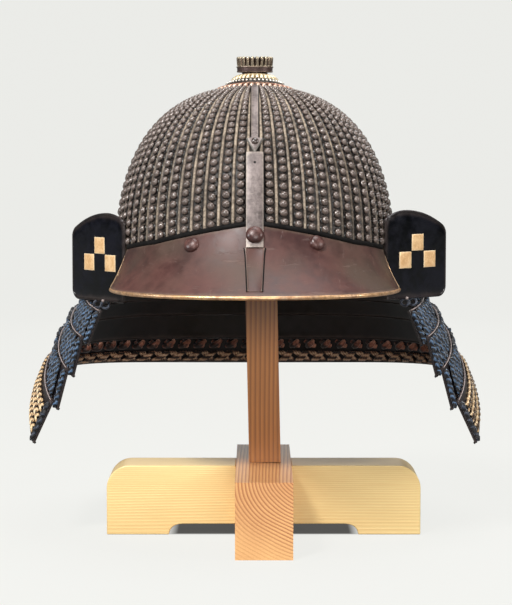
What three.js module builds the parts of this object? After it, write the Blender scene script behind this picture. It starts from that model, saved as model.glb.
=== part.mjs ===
// A studded kabuto helmet with a five-lame neck guard, standing on its plain wooden cross stand.
// Millimetres, +Z up. The face opening looks towards -Y. The floor is z = 0.
// The helmet is the same on both sides of x = 0, and the rail's middle is at y = 0.

import * as THREE from "three";
import { mergeVertices } from "three/addons/utils/BufferGeometryUtils.js";

// ---------------------------------------------------------------- driving dimensions

const GAP = 0.3;                 // left between neighbouring pieces
const FULL_TURN = 2 * Math.PI;

const BOWL = {
  halfWidth: 130,
  halfLength: 143,
  height: 168,
  roundness: 2.47,               // exponent of the side profile: 2 is an ellipse, more is fuller
  centreY: -2,
  baseZ: 256.5,
  leanBack: THREE.MathUtils.degToRad(9.25),
  plates: 62,
  wall: 2,
  ridge: 1,                      // height of the seam ridges
  plainFoot: 12,                 // bare height above the rim, under the lowest studs
  browRise: 13,                  // the rim arches up over the face
  browReach: 88,
  napeRise: 10,                  // and is cut a little higher over the nape
  crownHole: 13,                 // radius
};
const STUD = { rows: 16, height: 3.2, spacingAtFoot: 8.6, spacingLoss: 5.2, lossCurve: 2.2 };

const CROWN = { sides: 24, flutes: 18, fluteDepth: 0.05, hole: 14 };

const VISOR = {
  reach: THREE.MathUtils.degToRad(62.5), // how far round the bowl it goes, to each side
  overlap: 9,                            // up the bowl, above the rim
  plate: 1.8,
  lift: 1.6,                             // its back stands off the bowl by this
  rimHalfWidth: 133,
  rimDepth: 117,
  rimCentreY: -68,
  rimZ: 240,
  rimFullness: 2.2,
  hollow: 5,                             // how far it sags inwards between its top and its rim
  bead: 1.9,                             // radius of the gilt rim
};

const WAIST = { start: THREE.MathUtils.degToRad(76), foot: 0.5, top: 11, lift: 1.5, plate: 1.7 };

const LAME_PLATE = 1.6;
const LACING = 1.9;                      // thickness of the silk over a lame
const LACING_OFF = 0.9;                  // and how far it stands off the plate
const OVERLAP = 8;                       // a lame starts this far above the foot of the one before
const LAME_CENTRE_Y = 20;
const LAME_FULLNESS = 2.5;
const LAME_TUCK = 3.8;                   // a lame's head stands outside the last foot by this
// The foot of each lame: its half-width, its half-depth, its height at the nape, at the front ends,
// how far forward it comes, and how much it arches up between the nape and the front ends. The lowest is
// squarer in plan than the rest.
const LAME_FEET = [
  { halfWidth: 158, halfDepth: 129, napeZ: 230, frontZ: 210, frontY: -18, arch: 0 },
  { halfWidth: 172.5, halfDepth: 141, napeZ: 212, frontZ: 186, frontY: -57, arch: 0 },
  { halfWidth: 184.5, halfDepth: 153, napeZ: 194.5, frontZ: 156, frontY: -57, arch: 2 },
  { halfWidth: 197.5, halfDepth: 165, napeZ: 169, frontZ: 125, frontY: -57, arch: 5 },
  { halfWidth: 215, halfDepth: 177, napeZ: 143, frontZ: 93.6, frontY: -57, arch: 8, fullness: 2.85 },
];
const FRONT_DROOP = 1.9;                 // how suddenly the feet drop at the front: 1 is evenly
const FIRST_HEAD = { halfWidth: 138, halfDepth: 148.5, centreY: -2, fullness: 2.05, frontY: -38 };

const WING = {
  foldX: 120.5,                          // the inner edge, where the first lame turns back
  foldY: -62.5,
  length: 81,
  returnLeg: 17,
  returnTurn: THREE.MathUtils.degToRad(66),
  footZ: 226,
  innerTopZ: 299,
  apexZ: 307,
  apexAt: 26,
  outerTopZ: 290,
  cornerRadius: 9,
  plate: 2,
};
// The two wings were bent by hand: one is turned less, and stands a little higher.
const WING_SIDES = {
  left: { side: -1, turn: THREE.MathUtils.degToRad(49), raise: 0, squaresFrom: 21 },
  right: { side: 1, turn: THREE.MathUtils.degToRad(41.5), raise: 3, squaresFrom: 26 },
};
const SQUARE = { side: 15.6, thick: 0.9, lowZ: 261.3, step: 16.2 };

const STRIP = { halfWidth: 3.3, thick: 1.4, lift: 1.8, arrowHalfWidth: 7, top: 202, shoulder: 97, tip: 82 };
const FRONT_PLATE = { halfWidth: 7.75, thick: 1.4, lift: 1.8, footLift: 3.9, top: 81, rivetRadius: 7 };
const SIDE_RIVET = { radius: 6.6, x: 51, down: 0.13 };

const RAIL = { length: 300, height: 66.5, thick: 52, corner: 22, arch: 181, archHeight: 10.3, archEase: 7 };
const BEAM = { width: 52.4, height: 70.5, frontY: -151, backY: 88 };
const JOINT_Z = 34;                      // rail below, beam above, where they cross
const STAND_X = 8.4;
const POST = { side: 30, frontY: -35, footX: 9.6, lean: THREE.MathUtils.degToRad(1.24) };

// ---------------------------------------------------------------- materials

const finishes = {
  russet_iron: { color: 0x6e5f58, roughness: 0.5, metalness: 0.7 },
  russet_visor: { color: 0x75504a, roughness: 0.4, metalness: 0.4 },
  gilt: { color: 0xd9b27a, roughness: 0.35, metalness: 0.9 },
  copper: { color: 0xb47a52, roughness: 0.4, metalness: 0.9 },
  dark_bronze: { color: 0x4a3f38, roughness: 0.45, metalness: 0.8 },
  silver_beads: { color: 0x9a9690, roughness: 0.35, metalness: 0.9 },
  black_lacquer: { color: 0x15161c, roughness: 0.2, metalness: 0.1 },
  blue_silk: { color: 0x3f5676, roughness: 0.85, metalness: 0 },
  pine: { color: 0xdcb77e, roughness: 0.6, metalness: 0 },
};

const everything = new THREE.Group();

function addPiece(name, geometry, finish, place = new THREE.Group()) {
  const mesh = new THREE.Mesh(geometry, new THREE.MeshStandardMaterial(finishes[finish]));
  mesh.name = name;
  place.add(mesh);
  everything.add(place);
  return place;
}

// ---------------------------------------------------------------- shared construction

// A solid from a list of points and a list of triangles. Points that coincide become one.
function solidFrom(points, triangles) {
  const geometry = new THREE.BufferGeometry();
  geometry.setAttribute("position", new THREE.Float32BufferAttribute(points.flatMap((p) => p.toArray()), 3));
  geometry.setIndex(triangles.flat());
  return mergeVertices(geometry, 1e-4);
}

// A curved plate. front(u, v) and back(u, v) are its two faces: u runs 0..1 to the right as seen from the
// front, and v runs 0..1 downwards. Both are also given the number of the column and of the row.
function plateSolid(front, back, columns, rows) {
  const points = [];
  const triangles = [];
  const at = (face, i, j) => (face * (rows + 1) + j) * (columns + 1) + i;
  for (const face of [front, back]) {
    for (let j = 0; j <= rows; j += 1) {
      for (let i = 0; i <= columns; i += 1) {
        points.push(face(i / columns, j / rows, i, j));
      }
    }
  }
  const addCell = (a, b, c, d) => triangles.push([a, b, c], [a, c, d]);
  for (let j = 0; j < rows; j += 1) {
    for (let i = 0; i < columns; i += 1) {
      addCell(at(0, i, j), at(0, i, j + 1), at(0, i + 1, j + 1), at(0, i + 1, j));
      addCell(at(1, i, j), at(1, i + 1, j), at(1, i + 1, j + 1), at(1, i, j + 1));
    }
  }
  for (let i = 0; i < columns; i += 1) {
    addCell(at(0, i, 0), at(0, i + 1, 0), at(1, i + 1, 0), at(1, i, 0));
    addCell(at(0, i, rows), at(1, i, rows), at(1, i + 1, rows), at(0, i + 1, rows));
  }
  for (let j = 0; j < rows; j += 1) {
    addCell(at(0, 0, j), at(1, 0, j), at(1, 0, j + 1), at(0, 0, j + 1));
    addCell(at(0, columns, j), at(0, columns, j + 1), at(1, columns, j + 1), at(1, columns, j));
  }
  return solidFrom(points, triangles);
}

// The same plate from one middle surface and two distances along its normal. trim(u, v) can keep it to a
// part of the surface.
function sheetSolid(surface, backLift, frontLift, columns, rows, trim = (u, v) => [u, v]) {
  const lifted = (lift) => (u, v) => {
    const [across, down] = trim(u, v);
    return surface(across, down).addScaledVector(surfaceNormal(surface, across, down), lift);
  };
  return plateSolid(lifted(frontLift), lifted(backLift), columns, rows);
}

function surfaceNormal(surface, u, v) {
  const step = 1e-3;
  const right = surface(Math.min(u + step, 1), v).sub(surface(Math.max(u - step, 0), v));
  const down = surface(u, Math.min(v + step, 1)).sub(surface(u, Math.max(v - step, 0)));
  return down.cross(right).normalize();
}

// A ring of turned metal about +Z. profile lists [radius, height] points, and waves(angle) scales the
// radius so that the ring can be fluted or petalled.
function turnedRing(profile, sides = CROWN.sides, waves = () => 1) {
  const outline = profile.map(([radius, height]) => new THREE.Vector2(radius, height));
  const geometry = new THREE.LatheGeometry([...outline, outline[0]], sides);
  geometry.deleteAttribute("normal");
  geometry.deleteAttribute("uv");
  const position = geometry.getAttribute("position");
  for (let n = 0; n < position.count; n += 1) {
    const wave = waves(Math.atan2(position.getX(n), position.getZ(n)));
    position.setX(n, position.getX(n) * wave);
    position.setZ(n, position.getZ(n) * wave);
  }
  return mergeVertices(geometry.rotateX(Math.PI / 2), 1e-4);
}

// A flat outline pushed to a thickness.
function slab(shape, depth, curveSegments = 6) {
  return new THREE.ExtrudeGeometry(shape, { depth, bevelEnabled: false, curveSegments });
}

// ---------------------------------------------------------------- the bowl

// The dome's side profile as a table: how far one has walked up it from the base at each angle.
const CLIMB_STEP = 0.001;
const climbTable = (() => {
  const radius = (BOWL.halfWidth + BOWL.halfLength) / 2;
  const power = 2 / BOWL.roundness;
  const at = (climb) => [radius * Math.cos(climb) ** power, BOWL.height * Math.sin(climb) ** power];
  const walked = [0];
  let last = at(0);
  for (let climb = CLIMB_STEP; climb < Math.PI / 2; climb += CLIMB_STEP) {
    const next = at(climb);
    walked.push(walked.at(-1) + Math.hypot(next[0] - last[0], next[1] - last[1]));
    last = next;
  }
  return walked;
})();

function climbAfter(distance) {
  const next = climbTable.findIndex((walked) => walked >= distance);
  if (next < 0) {
    return Math.PI / 2;
  }
  if (next === 0) {
    return 0;
  }
  const share = (distance - climbTable[next - 1]) / (climbTable[next] - climbTable[next - 1]);
  return (next - 1 + share) * CLIMB_STEP;
}

// From the bowl's own upright frame into the helmet as it stands, leaning back.
function leaned(x, y, z) {
  return new THREE.Vector3(x, y, z)
    .applyAxisAngle(new THREE.Vector3(1, 0, 0), -BOWL.leanBack)
    .add(new THREE.Vector3(0, BOWL.centreY, BOWL.baseZ));
}

// The rim isn't flat: it arches over the brow and is cut higher at the nape.
function rimRise(azimuth) {
  const sideways = Math.abs(BOWL.halfWidth * Math.sin(azimuth));
  const forward = Math.cos(azimuth);
  if (forward > 0) {
    return BOWL.browRise * Math.max(0, 1 - sideways / BOWL.browReach);
  }
  return BOWL.napeRise * forward ** 2;
}

const TO_CROWN = climbTable.at(-1);

// A point of the dome. azimuth is measured from the front towards +X, up is the distance walked from the
// rim, and lift is the height above the plates.
function bowlPoint(azimuth, up, lift = 0) {
  const climb = climbAfter(up + rimRise(azimuth) * Math.max(0, 1 - up / TO_CROWN));
  const power = 2 / BOWL.roundness;
  const spread = Math.cos(climb) ** power;
  const rise = Math.sin(climb) ** power;
  const x = BOWL.halfWidth * spread * Math.sin(azimuth);
  const y = -BOWL.halfLength * spread * Math.cos(azimuth);
  const flat = spread ** (BOWL.roundness - 2);
  const normal = new THREE.Vector3(
    (flat * x) / BOWL.halfWidth ** 2,
    (flat * y) / BOWL.halfLength ** 2,
    rise ** (BOWL.roundness - 1) / BOWL.height,
  ).normalize();
  return leaned(x + normal.x * lift, y + normal.y * lift, BOWL.height * rise + normal.z * lift);
}

// Distance between one stud and the next above it.
function studSpacing(up) {
  return STUD.spacingAtFoot - STUD.spacingLoss * (up / TO_CROWN) ** STUD.lossCurve;
}

// The crown hole's edge, as a distance walked up from the rim.
const TO_CROWN_HOLE = TO_CROWN - BOWL.crownHole;

// The lines that part the bowl's skin, as [height up the bowl, lift]. They run down the outside from the
// crown hole to the rim, and back up the inside. The rows from firstStuds to lastStuds carry studs.
function bowlSkin() {
  const studLines = [BOWL.plainFoot];
  for (let row = 0; row < STUD.rows; row += 1) {
    studLines.push(studLines.at(-1) + studSpacing(studLines.at(-1)));
  }
  const between = (from, to, steps) => Array.from(
    { length: steps + 1 }, (_, n) => THREE.MathUtils.lerp(from, to, n / steps));
  const crownLines = between(TO_CROWN_HOLE, studLines.at(-1), 4).slice(0, -1);
  const outside = [...crownLines, ...studLines.reverse(), 0];
  const skin = outside.map((up, n) => [up, n < 2 ? n * 0.5 * BOWL.ridge : BOWL.ridge]);
  const inside = between(0, TO_CROWN_HOLE, 6).map((up) => [up, -BOWL.wall]);
  return { lines: [...skin, ...inside], firstStuds: crownLines.length, lastStuds: outside.length - 2 };
}

// The skin closes on itself both round the bowl and over its rim and crown hole.
function bowl() {
  const { lines, firstStuds, lastStuds } = bowlSkin();
  const points = [];
  const triangles = [];
  for (const [up, lift] of lines) {
    for (let column = 0; column < BOWL.plates; column += 1) {
      points.push(bowlPoint(((column - 0.5) / BOWL.plates) * FULL_TURN, up, lift));
    }
  }
  const at = (line, column) => (line % lines.length) * BOWL.plates + (column % BOWL.plates);
  lines.forEach(([up], line) => {
    for (let column = 0; column < BOWL.plates; column += 1) {
      const corners = [at(line, column), at(line + 1, column), at(line + 1, column + 1), at(line, column + 1)];
      const underFrontPlate = column === 0;
      if (line < firstStuds || line >= lastStuds || underFrontPlate) {
        triangles.push([corners[0], corners[1], corners[2]], [corners[0], corners[2], corners[3]]);
      } else {
        const middle = (up + lines[line + 1][0]) / 2;
        points.push(bowlPoint((column / BOWL.plates) * FULL_TURN, middle, STUD.height));
        corners.forEach((corner, n) => triangles.push([corner, corners[(n + 1) % 4], points.length - 1]));
      }
    }
  });
  return solidFrom(points, triangles);
}

addPiece("bowl", bowl(), "russet_iron");

// ---------------------------------------------------------------- the crown ornament

// The two petal rings and the bead ring lie on the leaning dome. The band and collar above stand upright.
const ringAt = (z) => {
  const place = new THREE.Group();
  place.position.copy(leaned(0, 0, BOWL.height + z));
  place.rotation.x = -BOWL.leanBack;
  return place;
};

const copperPetals = [[CROWN.hole, 2], [26, 1.6], [37.5, -1.4], [37.5, 0.2], [30, 4.2], [CROWN.hole, 4.6]];
addPiece("crown_copper_petals", turnedRing(copperPetals), "copper", ringAt(0));
const beadRing = [[CROWN.hole, 5], [29.4, 4.7], [29.4, 5.6], [24.5, 9.4], [CROWN.hole, 9.6]];
addPiece("crown_bead_ring", turnedRing(beadRing), "silver_beads", ringAt(0));
const giltPetals = [[CROWN.hole, 10], [22.5, 10], [23, 11.8], [19, 15.2], [CROWN.hole, 15.5]];
addPiece("crown_gilt_petals", turnedRing(giltPetals), "gilt", ringAt(0));

const collarPlace = (z) => {
  const place = new THREE.Group();
  place.position.set(0, leaned(0, 0, BOWL.height + 10).y, z);
  return place;
};
const band = [[11, -9], [12.4, -9], [12.4, 0], [17.5, 0], [17.5, 5.6], [11, 5.6]];
addPiece("crown_band", turnedRing(band), "dark_bronze", collarPlace(441.5));
const collar = [[12, 0], [17.4, 0], [17.9, 8.2], [16.8, 9], [12, 9]];
const flutes = (angle) => 1 - CROWN.fluteDepth * Math.abs(Math.sin((angle * CROWN.flutes) / 2));
addPiece("crown_collar", turnedRing(collar, CROWN.flutes * 2, flutes), "gilt", collarPlace(447.4));

// ---------------------------------------------------------------- the visor

// Its top edge lies on the bowl, and its rim is a wide, flat curve below.
function visorRimPoint(u) {
  const turn = (u * 2 - 1) * (Math.PI / 2);
  const power = 2 / VISOR.rimFullness;
  const x = VISOR.rimHalfWidth * Math.sign(Math.sin(turn)) * Math.abs(Math.sin(turn)) ** power;
  const forward = Math.cos(turn) ** power;
  return new THREE.Vector3(x, VISOR.rimCentreY - VISOR.rimDepth * forward, VISOR.rimZ);
}

function visorSurface(u, v) {
  const top = bowlPoint((u * 2 - 1) * VISOR.reach, VISOR.overlap, VISOR.lift + VISOR.plate / 2);
  const point = top.clone().lerp(visorRimPoint(u), v);
  const sag = VISOR.hollow * 4 * v * (1 - v);
  return point.add(new THREE.Vector3(0, sag * 0.8, -sag * 0.5));
}

const VISOR_COLUMNS = 24;
addPiece("visor", sheetSolid(visorSurface, -VISOR.plate / 2, VISOR.plate / 2, VISOR_COLUMNS, 4),
  "russet_visor");

// The gilt rim is a bead that follows the visor's lower edge.
function visorRim() {
  const route = [];
  for (let i = 0; i <= VISOR_COLUMNS; i += 1) {
    const edge = visorSurface(i / VISOR_COLUMNS, 1);
    const above = visorSurface(i / VISOR_COLUMNS, 0.9);
    route.push(edge.add(edge.clone().sub(above).normalize().multiplyScalar(VISOR.bead + GAP + 0.4)));
  }
  const section = new THREE.Shape().absarc(0, 0, VISOR.bead, 0, FULL_TURN);
  return new THREE.ExtrudeGeometry(section, {
    steps: VISOR_COLUMNS,
    curveSegments: 3,
    bevelEnabled: false,
    extrudePath: new THREE.CatmullRomCurve3(route),
  });
}
addPiece("visor_rim", visorRim(), "gilt");

// A domed rivet whose foot sits on the point given and whose top looks along the normal.
function rivet(name, radius, point, normal, finish) {
  const height = radius * 0.62;
  const profile = [new THREE.Vector2(0, 0), new THREE.Vector2(radius, 0)];
  for (const share of [0.35, 0.7]) {
    const angle = share * (Math.PI / 2);
    profile.push(new THREE.Vector2(radius * Math.cos(angle), height * Math.sin(angle)));
  }
  profile.push(new THREE.Vector2(0, height));
  const geometry = new THREE.LatheGeometry(profile, 12);
  geometry.deleteAttribute("normal");
  geometry.deleteAttribute("uv");
  const place = new THREE.Group();
  place.position.copy(point);
  place.quaternion.setFromUnitVectors(new THREE.Vector3(0, 1, 0), normal);
  addPiece(name, mergeVertices(geometry, 1e-4), finish, place);
}

for (const [name, side] of [["visor_rivet_left", -1], ["visor_rivet_right", 1]]) {
  const across = 0.5 + (side * Math.asin(SIDE_RIVET.x / BOWL.halfWidth)) / (2 * VISOR.reach);
  const normal = surfaceNormal(visorSurface, across, SIDE_RIVET.down);
  const foot = visorSurface(across, SIDE_RIVET.down).addScaledVector(normal, VISOR.plate / 2 + 2 * GAP);
  rivet(name, SIDE_RIVET.radius, foot, normal, "russet_visor");
}

// ---------------------------------------------------------------- the front strip and front plate

// A narrow band down the middle of the front. stations lists, from the top down, the band's middle point
// and the direction that its face looks in.
function frontBand(stations, thick, halfWidth) {
  const rows = stations.length - 1;
  const face = (lift) => (u, v, i, j) => {
    const [point, normal] = stations[j];
    const place = point.clone().addScaledVector(normal, lift);
    place.x = (u * 2 - 1) * halfWidth(j);
    return place;
  };
  return plateSolid(face(thick), face(0), 1, rows);
}

function stationOnBowl(up, lift) {
  const point = bowlPoint(0, up, lift);
  return [point, bowlPoint(0, up, lift + 1).sub(point)];
}

const stripStations = [];
const STRIP_STEPS = 8;
for (let n = 0; n <= STRIP_STEPS; n += 1) {
  stripStations.push(stationOnBowl(THREE.MathUtils.lerp(STRIP.top, STRIP.shoulder, n / STRIP_STEPS), STRIP.lift));
}
stripStations.push(stationOnBowl(STRIP.shoulder - 2, STRIP.lift));
stripStations.push(stationOnBowl(STRIP.tip, STRIP.lift));
const stripHalfWidth = (j) => {
  if (j <= STRIP_STEPS) {
    return STRIP.halfWidth;
  }
  return j === STRIP_STEPS + 1 ? STRIP.arrowHalfWidth : 0.4;
};
addPiece("front_strip", frontBand(stripStations, STRIP.thick, stripHalfWidth), "russet_iron");

const plateStations = [];
for (const [up, ramp] of [[1, 0], [0.75, 0], [0.5, 0.2], [0.3, 0.6], [0, 1]]) {
  const height = THREE.MathUtils.lerp(VISOR.overlap, FRONT_PLATE.top, up);
  plateStations.push(stationOnBowl(height, THREE.MathUtils.lerp(FRONT_PLATE.lift, FRONT_PLATE.footLift, ramp)));
}
for (const down of [0.13, 0.3]) {
  const normal = surfaceNormal(visorSurface, 0.5, down);
  const onVisor = visorSurface(0.5, down).addScaledVector(normal, VISOR.plate / 2 + 2 * GAP);
  plateStations.push([onVisor, normal]);
}
addPiece("front_plate", frontBand(plateStations, FRONT_PLATE.thick, () => FRONT_PLATE.halfWidth), "russet_iron");

// Its rivet stands on the plate, just under the foot of the bowl.
const CENTRE_RIVET_DOWN = 0.15;
const centreNormal = surfaceNormal(visorSurface, 0.5, CENTRE_RIVET_DOWN);
const centreFoot = visorSurface(0.5, CENTRE_RIVET_DOWN)
  .addScaledVector(centreNormal, VISOR.plate / 2 + FRONT_PLATE.thick + 4 * GAP);
rivet("visor_rivet_centre", FRONT_PLATE.rivetRadius, centreFoot, centreNormal, "russet_iron");

// ---------------------------------------------------------------- the waist band

function waistSurface(u, v) {
  const azimuth = THREE.MathUtils.lerp(WAIST.start, FULL_TURN - WAIST.start, u);
  return bowlPoint(azimuth, THREE.MathUtils.lerp(WAIST.top, WAIST.foot, v), 0);
}
addPiece("waist_band", sheetSolid(waistSurface, WAIST.lift, WAIST.lift + WAIST.plate, 36, 1), "black_lacquer");

// ---------------------------------------------------------------- the neck guard

// A line round the back of the helmet. u runs 0..1 from the +X front end, round the nape, to the -X front
// end, which is to the right as seen from outside. Its z comes from height(y).
function guardLine(line, u) {
  const power = 2 / line.fullness;
  const reach = (line.frontY - line.centreY) / line.halfDepth;
  const frontTurn = Math.PI - Math.acos(Math.abs(reach) ** (1 / power));
  const turn = (1 - u * 2) * frontTurn;
  const x = line.halfWidth * Math.sign(Math.sin(turn)) * Math.abs(Math.sin(turn)) ** power;
  const y = line.centreY + line.halfDepth * Math.sign(Math.cos(turn)) * Math.abs(Math.cos(turn)) ** power;
  return new THREE.Vector3(x, y, line.height(y));
}

// The foot of a lame arches a little from the nape, then drops towards its front ends.
function footLine(foot) {
  const napeY = LAME_CENTRE_Y + foot.halfDepth;
  const height = (y) => {
    const forward = Math.max(0, napeY - y) / (napeY + 57);
    const arch = foot.arch * 4 * forward * (1 - forward);
    return foot.napeZ + arch - (foot.napeZ - foot.frontZ) * forward ** FRONT_DROOP;
  };
  return { centreY: LAME_CENTRE_Y, fullness: LAME_FULLNESS, ...foot, height };
}

// The head of a lame lies just outside the foot of the one before, a little above it. The first lame's
// head lies on the waist band instead, and follows the leaning rim.
function headLine(number) {
  if (number === 0) {
    const height = (y) => {
      const nape = BOWL.napeRise * Math.max(0, (y - BOWL.centreY) / BOWL.halfLength) ** 2;
      return BOWL.baseZ + 6 - (y - BOWL.centreY) * Math.tan(BOWL.leanBack) + nape;
    };
    return { ...FIRST_HEAD, height };
  }
  const above = footLine(LAME_FEET[number - 1]);
  return {
    ...above,
    halfWidth: above.halfWidth + LAME_TUCK,
    halfDepth: above.halfDepth + LAME_TUCK,
    frontY: LAME_FEET[number].frontY,
    height: (y) => above.height(y) + OVERLAP,
  };
}

// The middle surface of a lame.
function lameSurface(number) {
  const head = headLine(number);
  const foot = footLine(LAME_FEET[number]);
  return (u, v) => guardLine(head, u).lerp(guardLine(foot, u), v);
}

const LAME_COLUMNS = 28;
// The silk leaves the bare head and the very edges of a lame uncovered.
const lacedPart = (u, v) => [THREE.MathUtils.clamp(u, 0.012, 0.988), THREE.MathUtils.lerp(0.24, 0.96, v)];
LAME_FEET.forEach((foot, number) => {
  const surface = lameSurface(number);
  const half = LAME_PLATE / 2;
  addPiece(`lame_${number + 1}`, sheetSolid(surface, -half, half, LAME_COLUMNS, 1), "black_lacquer");
  if (number < LAME_FEET.length - 1) {
    const under = half + LACING_OFF;
    const laced = sheetSolid(surface, under, under + LACING, LAME_COLUMNS, 1, lacedPart);
    addPiece(`lacing_${number + 1}`, laced, "blue_silk");
  }
});

// ---------------------------------------------------------------- the wings

// The line of a wing in plan, walked from the end of its return leg (below 0) to its outer edge.
function wingPlan(walk, turn) {
  const heading = walk > 0 ? turn : WING.returnTurn;
  const direction = new THREE.Vector2(Math.cos(heading), Math.sin(heading));
  return new THREE.Vector2(WING.foldX, WING.foldY).addScaledVector(direction, Math.abs(walk));
}

function wingTop(walk) {
  if (walk < 0) {
    return WING.innerTopZ;
  }
  const beyond = (walk - WING.apexAt) / (walk < WING.apexAt ? WING.apexAt : WING.length - WING.apexAt);
  const end = walk < WING.apexAt ? WING.innerTopZ : WING.outerTopZ;
  return WING.apexZ - (WING.apexZ - end) * beyond ** 2;
}

// The foot is level, with a round corner at the outer edge.
function wingFoot(walk) {
  const intoCorner = walk - (WING.length - WING.cornerRadius);
  if (intoCorner <= 0) {
    return WING.footZ;
  }
  return WING.footZ + WING.cornerRadius - Math.sqrt(Math.max(0, WING.cornerRadius ** 2 - intoCorner ** 2));
}

// Where along the walk the wing's solid is cut: closer together round the fold and the outer corner.
const WING_STATIONS = [
  -WING.returnLeg, -3, 3, ...[0.15, 0.26, 0.37, 0.48, 0.59, 0.7, 0.8].map((share) => share * WING.length),
  ...[1, 0.5, 0.18, 0].map((share) => WING.length - share * WING.cornerRadius),
];

function wing({ side, turn, raise }) {
  const last = WING_STATIONS.length - 1;
  const outward = (station) => {
    const before = wingPlan(WING_STATIONS[Math.max(station - 1, 0)], turn);
    const along = wingPlan(WING_STATIONS[Math.min(station + 1, last)], turn).sub(before).normalize();
    return new THREE.Vector3(along.y, -along.x, 0);
  };
  const face = (lift) => (u, v, i) => {
    const station = side > 0 ? i : last - i;
    const walk = WING_STATIONS[station];
    const plan = wingPlan(walk, turn);
    const z = raise + THREE.MathUtils.lerp(wingTop(walk), wingFoot(walk), v);
    const point = new THREE.Vector3(plan.x, plan.y, z).addScaledVector(outward(station), lift);
    point.x *= side;
    return point;
  };
  return plateSolid(face(WING.plate / 2), face(-WING.plate / 2), last, 2);
}

// Three gilt squares, corner to corner: two below and one above between them.
const SQUARES = { inner: [0, 0], top: [1, 1], outer: [2, 0] };

for (const [name, shape] of Object.entries(WING_SIDES)) {
  addPiece(`wing_${name}`, wing(shape), "black_lacquer");
  for (const [where, [along, up]] of Object.entries(SQUARES)) {
    const plan = wingPlan(shape.squaresFrom + SQUARE.step * along, shape.turn);
    const lift = WING.plate / 2 + GAP + SQUARE.thick / 2;
    const place = new THREE.Group();
    place.position.set(
      shape.side * (plan.x + Math.sin(shape.turn) * lift),
      plan.y - Math.cos(shape.turn) * lift,
      shape.raise + SQUARE.lowZ + SQUARE.step * up,
    );
    place.rotation.z = shape.side * shape.turn;
    const tile = new THREE.BoxGeometry(SQUARE.side, SQUARE.thick, SQUARE.side);
    addPiece(`wing_${name}_square_${where}`, tile, "gilt", place);
  }
}

// ---------------------------------------------------------------- the stand

// The cross rail: rounded top corners, a long shallow arch below, and a notch for the beam above.
function railOutline() {
  const half = RAIL.length / 2;
  const notch = BEAM.width / 2 + GAP;
  const shape = new THREE.Shape();
  shape.moveTo(-half, 0);
  shape.lineTo(-RAIL.arch / 2, 0);
  shape.quadraticCurveTo(-RAIL.arch / 2 + 1, RAIL.archHeight, -RAIL.arch / 2 + RAIL.archEase * 2, RAIL.archHeight);
  shape.lineTo(RAIL.arch / 2 - RAIL.archEase * 2, RAIL.archHeight);
  shape.quadraticCurveTo(RAIL.arch / 2 - 1, RAIL.archHeight, RAIL.arch / 2, 0);
  shape.lineTo(half, 0);
  shape.lineTo(half, RAIL.height - RAIL.corner);
  shape.absarc(half - RAIL.corner, RAIL.height - RAIL.corner, RAIL.corner, 0, Math.PI / 2);
  shape.lineTo(notch, RAIL.height);
  shape.lineTo(notch, JOINT_Z - GAP);
  shape.lineTo(-notch, JOINT_Z - GAP);
  shape.lineTo(-notch, RAIL.height);
  shape.absarc(-half + RAIL.corner, RAIL.height - RAIL.corner, RAIL.corner, Math.PI / 2, Math.PI);
  return shape;
}
const railPlace = new THREE.Group();
railPlace.position.set(STAND_X, RAIL.thick / 2, 0);
railPlace.rotation.x = Math.PI / 2;
addPiece("cross_rail", slab(railOutline(), RAIL.thick), "pine", railPlace);

// The foot beam runs front to back and is notched from below, over the rail.
function beamOutline() {
  const notch = RAIL.thick / 2 + GAP;
  return new THREE.Shape([
    [BEAM.frontY, 0], [-notch, 0], [-notch, JOINT_Z], [notch, JOINT_Z], [notch, 0],
    [BEAM.backY, 0], [BEAM.backY, BEAM.height], [BEAM.frontY, BEAM.height],
  ].map(([y, z]) => new THREE.Vector2(y, z)));
}
const beamPlace = new THREE.Group();
beamPlace.position.x = STAND_X - BEAM.width / 2;
const [alongX, alongY, alongZ] = [[1, 0, 0], [0, 1, 0], [0, 0, 1]].map((axis) => new THREE.Vector3(...axis));
beamPlace.quaternion.setFromRotationMatrix(new THREE.Matrix4().makeBasis(alongY, alongZ, alongX));
addPiece("foot_beam", slab(beamOutline(), BEAM.width), "pine", beamPlace);

// The post leans very slightly and ends just under the inside of the crown.
function postTop() {
  const corners = [POST.frontY, POST.frontY + POST.side];
  const heights = corners.map((y) => {
    for (let up = TO_CROWN / 2; up < TO_CROWN; up += 0.5) {
      const inside = bowlPoint(0, up, -BOWL.wall);
      if (inside.y > y) {
        return inside.z;
      }
    }
    return leaned(0, 0, BOWL.height - BOWL.wall).z;
  });
  return Math.min(...heights) - 3;
}
const postFoot = BEAM.height + 2 * GAP;
const postLength = postTop() - postFoot;
const postPlace = new THREE.Group();
postPlace.position.set(POST.footX, POST.frontY + POST.side / 2, postFoot);
postPlace.rotation.y = -POST.lean;
const post = new THREE.BoxGeometry(POST.side, POST.side, postLength).translate(0, 0, postLength / 2);
addPiece("post", post, "pine", postPlace);

// ---------------------------------------------------------------- the origin

// The origin is the middle of the bounding box, on the floor.
const box = new THREE.Box3().setFromObject(everything, true);
const part = new THREE.Group();
everything.position.set(-(box.min.x + box.max.x) / 2, -(box.min.y + box.max.y) / 2, -box.min.z);
part.add(everything);

export default part;
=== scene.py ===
# %% [markdown]
# # A studded samurai helmet on its wooden stand
# The solid model of the helmet is already made, and every size comes from it. Here each piece gets the
# surface that a maker would give it: ridges and studs on the bowl, braids of silk on the neck guard, and
# grain in the wood. We start by loading that model. All that follows is in its frame: metres, the floor at
# z = 0, and the face opening towards -Y.

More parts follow.
